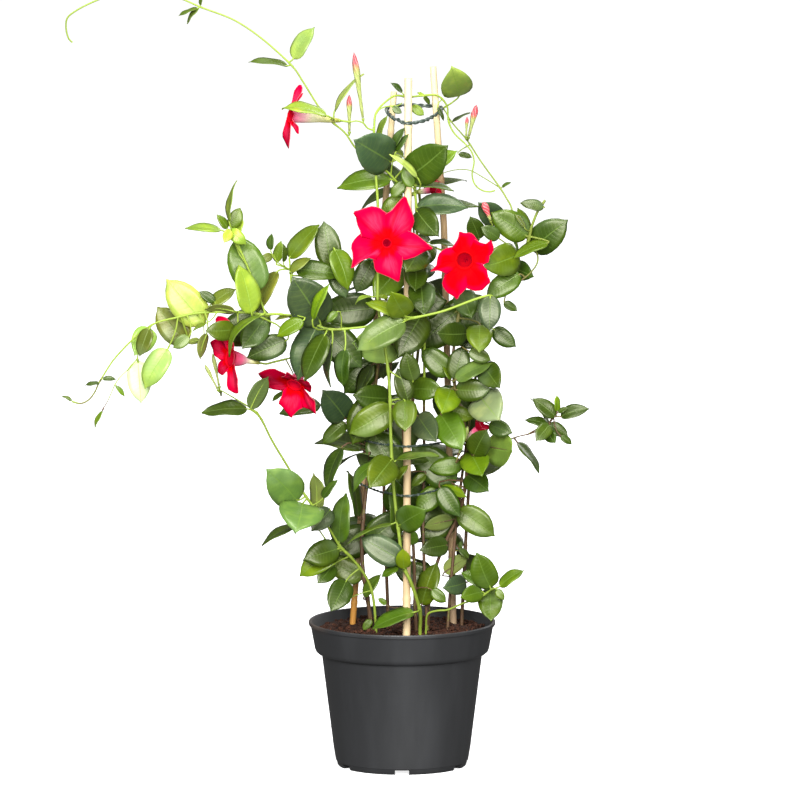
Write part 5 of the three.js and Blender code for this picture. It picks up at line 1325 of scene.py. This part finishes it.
def leaf_stalk(leaf, curves, stalk):
    """A stalk from the stem to the blade, that runs on beneath it as the midrib."""
    everything = [place for _, places in curves for place in places]
    root = nearest(everything, leaf["root"])
    axis = leaf["tip"] - leaf["base"]
    length = axis.length
    axis.normalize()
    upper = leaf["upper"].normalized()
    gap = (leaf["base"] - root).length
    bend = leaf["base"] - axis * gap * 0.4 - upper * gap * 0.1
    places = [root]
    for share in (0.3, 0.65, 0.92):
        places.append(root.lerp(bend, share).lerp(bend.lerp(leaf["base"], share), share))
    radii = [stalk * 1.25, stalk, stalk * 0.95, stalk]
    for share, radius in ((0.05, 0.9), (0.25, 0.62), (0.5, 0.4), (0.72, 0.22)):
        middle = leaf["base"] + axis * length * share
        middle += upper * (4 * leaf["arch"] * length * share * (1 - share) - 0.0006 - stalk * radius * 0.35)
        places.append(middle)
        radii.append(stalk * radius)
    return root, (places, radii, 1)


def bloom_foot(bloom):
    at, faces, tube = bloom[:3]
    faces = Vector(faces).normalized()
    return on_sheet(*at) - faces * tube * MM, faces


def flower_stalk(curves, start, foot, direction, radius):
    """A stalk that ends in a small calyx under a bloom or bud."""
    everything = [place for _, places in curves for place in places]
    root = nearest(everything, start)
    neck = foot - direction * 4 * MM
    back = foot - direction * 10 * MM
    middle = root.lerp(back, 0.6)
    if (root - neck).length < 16 * MM:
        corners = [root, root.lerp(neck, 0.5), neck]
    else:
        corners = [root, middle, back, neck]
    places = smooth_run(corners, 3 * MM)
    radii = [radius] * len(places)
    for share, wide in ((0.25, 0.9), (0.6, 1.6), (0.8, 1.9), (0.93, 1.5)):
        places.append(neck.lerp(foot, share))
        radii.append(radius + (wide - 0.8) * MM)
    return places, radii, 1


GREEN_TO_THE_FOOT = ("shoot_runner", "shoot_low_left", "shoot_low_right")


# In millimetres: the radii of the stalks of blooms and buds, and how far the knot reaches where a
# leaf grows. Then how much a knot swells the stem and how much the stem tapers, as shares.
BLOOM_STALK = 1.1
BUD_STALK = 0.8
KNOT_REACH = 3
KNOT_SWELL = 0.28
STEM_TAPER = 0.3


class CLIMBER_OT_stems(bpy.types.Operator):
    """Grow the stems, their leaf stalks and the flower stalks"""
    bl_idname = "climber.stems"
    bl_label = "Stems"

    def execute(self, context):
        sizes = context.scene.climber_plant
        shoot = tuple(sizes.shoot)
        woody = bark_finish("woody_bark", tuple(sizes.bark), tuple(c * 0.8 for c in shoot), (0.34, 0.66))
        turning = bark_finish("turning_bark", tuple(sizes.bark), shoot, (0.34, 0.42))
        green = bark_finish("green_bark", tuple(c * 0.8 for c in shoot), shoot, (0.30, 0.60))
        barks = {"shoot": turning, "stem": woody, **dict.fromkeys(GREEN_TO_THE_FOOT, green)}
        stalk_material = stalk_finish()
        for node in STEMS:
            curves = stem_curves(node)
            runs = []
            roots = []
            for leaf in stem_leaves(node):
                length = (leaf["tip"] - leaf["base"]).length
                root, run = leaf_stalk(leaf, curves, sizes.stalk * min(1, 0.45 + length / 0.07))
                roots.append(root)
                runs.append(run)
            for bloom in BLOOMS.values():
                if bloom[3] == node:
                    foot, faces = bloom_foot(bloom)
                    runs.append(flower_stalk(curves, on_sheet(*bloom[4]), foot, faces, BLOOM_STALK * MM))
            for bud in BUDS.values():
                if bud[4] == node:
                    foot, tip = (on_sheet(*end, bud[2]) for end in bud[:2])
                    faces = (tip - foot).normalized()
                    runs.append(flower_stalk(curves, on_sheet(*bud[5]), foot, faces, BUD_STALK * MM))
            for radius, places in curves:
                radii = []
                for k, place in enumerate(places):
                    close = ((place - root).length / (KNOT_REACH * MM) for root in roots)
                    swell = max((math.exp(-away ** 2) for away in close), default=0)
                    radii.append(radius * (1 - STEM_TAPER * k / len(places)) * (1 + KNOT_SWELL * swell))
                runs.append((places, radii, 0))
            bark = barks.get(node, barks[node.split("_")[0]])
            mesh = tube_mesh(node + "_wood", runs)
            keep(node + "_wood", mesh, [node], [bark, stalk_material])
        return {"FINISHED"}


class CLIMBER_OT_leaves(bpy.types.Operator):
    """Shape every leaf blade"""
    bl_idname = "climber.leaves"
    bl_label = "Leaves"

    def execute(self, context):
        sizes = context.scene.climber_plant
        upper = blade_finish("leaf_face", True)
        under = blade_finish("leaf_back", False)
        pattern = blade_pattern()
        rng = random.Random(PLANT_SEED + 2)
        for node in STEMS:
            bm = bmesh.new()
            tint = bm.verts.layers.float_color.new("shade")
            for leaf in stem_leaves(node):
                before = len(bm.verts)
                bm.from_mesh(pattern)
                bm.verts.ensure_lookup_table()
                verts = bm.verts[before:]
                shape_blade(verts, leaf, rng)
                light = rng.uniform(0.78, 1.25)
                warm = rng.uniform(0.88, 1.18)
                red, green, blue = leaf["shade"]
                colour = (red * light * warm, green * light, blue * light, 1)
                for vert in verts:
                    vert[tint] = colour
            mesh = finished(bm, node + "_blades")
            piece = keep(node + "_blades", mesh, [node], [upper, under])
            wall = piece.modifiers.new("wall", "SOLIDIFY")
            wall.thickness = sizes.blade
            wall.offset = -1
            wall.material_offset = 1
            wall.material_offset_rim = 1
        bpy.data.meshes.remove(pattern)
        return {"FINISHED"}


# ---------------------------------------------------------------- blooms and buds


PETAL_ACROSS = 14
PETAL_ROWS = 9
OVERLAP = math.radians(5)
LIMB_START = 0.44
LONG_TUBE = 40


FLARES = {"bloom_1": 0.085, "bloom_2": 0.21}
# Painted shade: a share for each lobe of these blooms that darkens its colour, where the lobe is turned from
# the light.
PAINTED_LOBE_SHADE = {"bloom_5": (0.72, 0.6, 0.55, 1, 0.95), "bloom_4": (0.8, 1, 0.75, 0.9, 1)}


def lobe_edge(lobe, following, drawn):
    """The edge of a lobe from notch to notch, in millimetres right and up in the plane of the mouth."""
    if drawn:
        return [Vector(numbers(pair)) for pair in drawn.split(",")]
    tip, reach, _, before, depth = lobe
    before -= 360 if before > tip else 0
    after = following[3] + (360 if following[3] < tip else 0)
    stations = ((before, depth), (before + 0.30 * (tip - before), 0.78 * reach),
                (before + 0.70 * (tip - before), 0.93 * reach), (tip, reach),
                (tip + 0.20 * (after - tip), 0.88 * reach), (tip + 0.62 * (after - tip), 0.76 * reach),
                (after, following[4]))
    return [Vector((far * math.cos(math.radians(angle)), far * math.sin(math.radians(angle))))
            for angle, far in stations]


def evenly(corners, count):
    """Places at even steps along a line of corners."""
    steps = [(b - a).length for a, b in zip(corners, corners[1:])]
    total = sum(steps)
    places = []
    for k in range(count + 1):
        left = total * k / count
        index = 0
        while index < len(steps) - 1 and left > steps[index]:
            left -= steps[index]
            index += 1
        places.append(corners[index].lerp(corners[index + 1], min(1, left / steps[index])))
    return places


def shape_petal(verts, at, frame_of, edge, bend, flare, rng):
    """Gives a flat grid the shape of one lobe, from the throat to its edge."""
    right, level, faces = frame_of
    tilt = math.radians(bend)
    phase = rng.uniform(0, FULL_TURN)
    frill = rng.uniform(0.05, 0.08)
    cup = rng.uniform(-0.10, 0.02)
    outline = evenly(edge, PETAL_ACROSS)
    first = math.atan2(edge[0].y, edge[0].x)
    sweep_by = (math.atan2(edge[-1].y, edge[-1].x) - first) % FULL_TURN
    first -= OVERLAP
    sweep_by += 2 * OVERLAP
    for vert in verts:
        x, y = vert.co.x, (vert.co.y + 1) / 2
        k = round((x + 1) / 2 * PETAL_ACROSS)
        turn = first + sweep_by * k / PETAL_ACROSS
        start = Vector((math.cos(turn), math.sin(turn))) * flare * 0.84
        end = start.normalized() * outline[k].length if k in (0, PETAL_ACROSS) else outline[k]
        flat = start.lerp(end, y)
        far = flat.length
        beyond = max(0.0, far - flare)
        lean = tilt * min(1, 0.4 + beyond / 14)
        ruffle = frill * beyond * math.sin(5.5 * x + phase) + 0.07 * beyond * x
        forward = beyond * math.sin(lean) + ruffle + cup * beyond * (1 - x * x) - 2.4 * (1 - y) ** 3
        flat = flat.normalized() * (far - beyond * (1 - math.cos(lean)))
        spot = right * flat.x + level * flat.y + faces * forward
        vert.co = at + spot * MM


class CLIMBER_OT_blooms(bpy.types.Operator):
    """Shape the blooms, each a tube and five overlapping lobes"""
    bl_idname = "climber.blooms"
    bl_label = "Blooms"

    def execute(self, context):
        sizes = context.scene.climber_plant
        rng = random.Random(PLANT_SEED + 3)
        for name, (at, faces, tube, _, _, lobes, colours) in BLOOMS.items():
            middle = on_sheet(*at)
            faces = Vector(faces).normalized()
            level = (UP - faces * UP.dot(faces)).normalized()
            right = level.cross(faces)
            flare = FLARES.get(name, 0.19) * max(lobe[1] for lobe in lobes)
            bm = bmesh.new()
            layer = bm.loops.layers.uv.new("petal")
            tint = bm.verts.layers.float_color.new("shade")
            waist = max(2.2, 0.058 * tube)
            profile = ((0, -tube), (1.5, -tube + 0.2), (0.6 * waist + 0.6, -0.8 * tube),
                       (0.9 * waist + 0.2, -0.62 * tube), (0.42 * flare + 1.4, -0.45 * tube),
                       (0.66 * flare + 0.9, -0.27 * tube), (0.82 * flare + 0.3, -0.12 * tube),
                       (flare * 0.93, -1.6), (flare * 1.04, -0.5))
            chain = [(radius * MM, height * MM) for radius, height in profile]
            spun(bm, chain, 20, standing(middle, faces))
            bmesh.ops.reverse_faces(bm, faces=bm.faces)
            for face in bm.faces:
                for loop in face.loops:
                    share = 1 + (loop.vert.co - middle).dot(faces) / (tube * MM)
                    loop[layer].uv = (0.5, share * LIMB_START)
            for vert in bm.verts:
                vert[tint] = (1, 1, 1, 1)
            drawn = EDGES.get(name, [None] * len(lobes))
            for order, lobe in enumerate(lobes):
                edge = lobe_edge(lobe, lobes[(order + 1) % len(lobes)], drawn[order])
                grid = bmesh.ops.create_grid(bm, x_segments=PETAL_ACROSS, y_segments=PETAL_ROWS,
                                             size=1)["verts"]
                patch = list(dict.fromkeys(face for vert in grid for face in vert.link_faces))
                for face in patch:
                    for loop in face.loops:
                        x, y = loop.vert.co.xy
                        loop[layer].uv = ((x + 1) / 2, LIMB_START + (1 - LIMB_START) * (y + 1) / 2)
                shape_petal(grid, middle, (right, level, faces), edge, lobe[2], flare, rng)
                # Painted shade on this lobe, carried in its shade attribute.
                light = PAINTED_LOBE_SHADE.get(name, [1] * len(lobes))[order]
                for vert in grid:
                    vert[tint] = (light, light, light, 1)
                middle_face = patch[len(patch) // 2]
                middle_face.normal_update()
                if middle_face.normal.dot(faces) < 0:
                    bmesh.ops.reverse_faces(bm, faces=patch)
            mesh = finished(bm, name + "_petals")
            looks = [petal_finish(name + "_face", colours, True),
                     petal_finish(name + "_outside", colours, False, 0.25 if tube > LONG_TUBE else 0.13)]
            piece = keep(name + "_petals", mesh, [name], looks)
            wall = piece.modifiers.new("wall", "SOLIDIFY")
            wall.thickness = sizes.petal
            wall.offset = -1
            wall.material_offset = 1
        return {"FINISHED"}


# The outline of a bud above its foot, as shares of its radius and length.
BUD_PROFILE = ((0.5, 0.14), (0.52, 0.3), (0.7, 0.45), (0.93, 0.6), (1, 0.72), (0.9, 0.82),
               (0.55, 0.92), (0, 1))


class CLIMBER_OT_buds(bpy.types.Operator):
    """Turn the buds, furled in a spiral"""
    bl_idname = "climber.buds"
    bl_label = "Buds"

    def execute(self, context):
        for name, (foot, tip, back, radius, _, _, green) in BUDS.items():
            foot = on_sheet(*foot, back)
            tip = on_sheet(*tip, back)
            length = (tip - foot).length
            direction = (tip - foot).normalized()
            bm = bmesh.new()
            chain = [(0, 0), (1.2 * MM, 0.01 * length)]
            chain += [(wide * radius * MM, share * length) for wide, share in BUD_PROFILE]
            spun(bm, chain, 15)
            layer = bm.loops.layers.uv.new("bud")
            for vert in bm.verts:
                share = vert.co.z / length
                groove = math.cos(5 * (math.atan2(vert.co.y, vert.co.x) - 2.6 * share))
                ridge = 1 + 0.10 * groove * min(1, max(0, share - 0.3) * 3)
                vert.co.x *= ridge
                vert.co.y *= ridge
            for face in bm.faces:
                angles = [math.atan2(loop.vert.co.y, loop.vert.co.x) for loop in face.loops]
                for loop, angle in zip(face.loops, angles):
                    turn = angle + FULL_TURN if max(angles) - angle > math.pi else angle
                    loop[layer].uv = (turn / FULL_TURN, loop.vert.co.z / length)
            bmesh.ops.transform(bm, matrix=standing(foot, direction), verts=bm.verts)
            mesh = finished(bm, name + "_furled")
            keep(name + "_furled", mesh, [name], [bud_finish(name + "_skin", green)])
        return {"FINISHED"}


# ---------------------------------------------------------------- panel and running


STEPS = (CLIMBER_OT_stage, CLIMBER_OT_pot, CLIMBER_OT_soil, CLIMBER_OT_canes, CLIMBER_OT_ties,
         CLIMBER_OT_stems, CLIMBER_OT_leaves, CLIMBER_OT_blooms, CLIMBER_OT_buds)


class CLIMBER_PT_panel(bpy.types.Panel):
    """Lists the steps that build the plant"""
    bl_idname = "CLIMBER_PT_panel"
    bl_label = "Potted climber"
    bl_space_type = "VIEW_3D"
    bl_region_type = "UI"
    bl_category = "Climber"

    def draw(self, context):
        for group in (context.scene.climber_pot, context.scene.climber_plant):
            for name in group.__annotations__:
                self.layout.prop(group, name)
        for step in STEPS:
            self.layout.operator(step.bl_idname)


CLASSES = (PotSizes, PlantSizes, *STEPS, CLIMBER_PT_panel)


def register():
    for each in CLASSES:
        bpy.utils.register_class(each)
    bpy.types.Scene.climber_pot = bpy.props.PointerProperty(type=PotSizes)
    bpy.types.Scene.climber_plant = bpy.props.PointerProperty(type=PlantSizes)


def unregister():
    del bpy.types.Scene.climber_plant
    del bpy.types.Scene.climber_pot
    for each in reversed(CLASSES):
        bpy.utils.unregister_class(each)


def main():
    register()
    for step in STEPS:
        group, name = step.bl_idname.split(".")
        getattr(getattr(bpy.ops, group), name)()


if __name__ == "__main__":
    main()
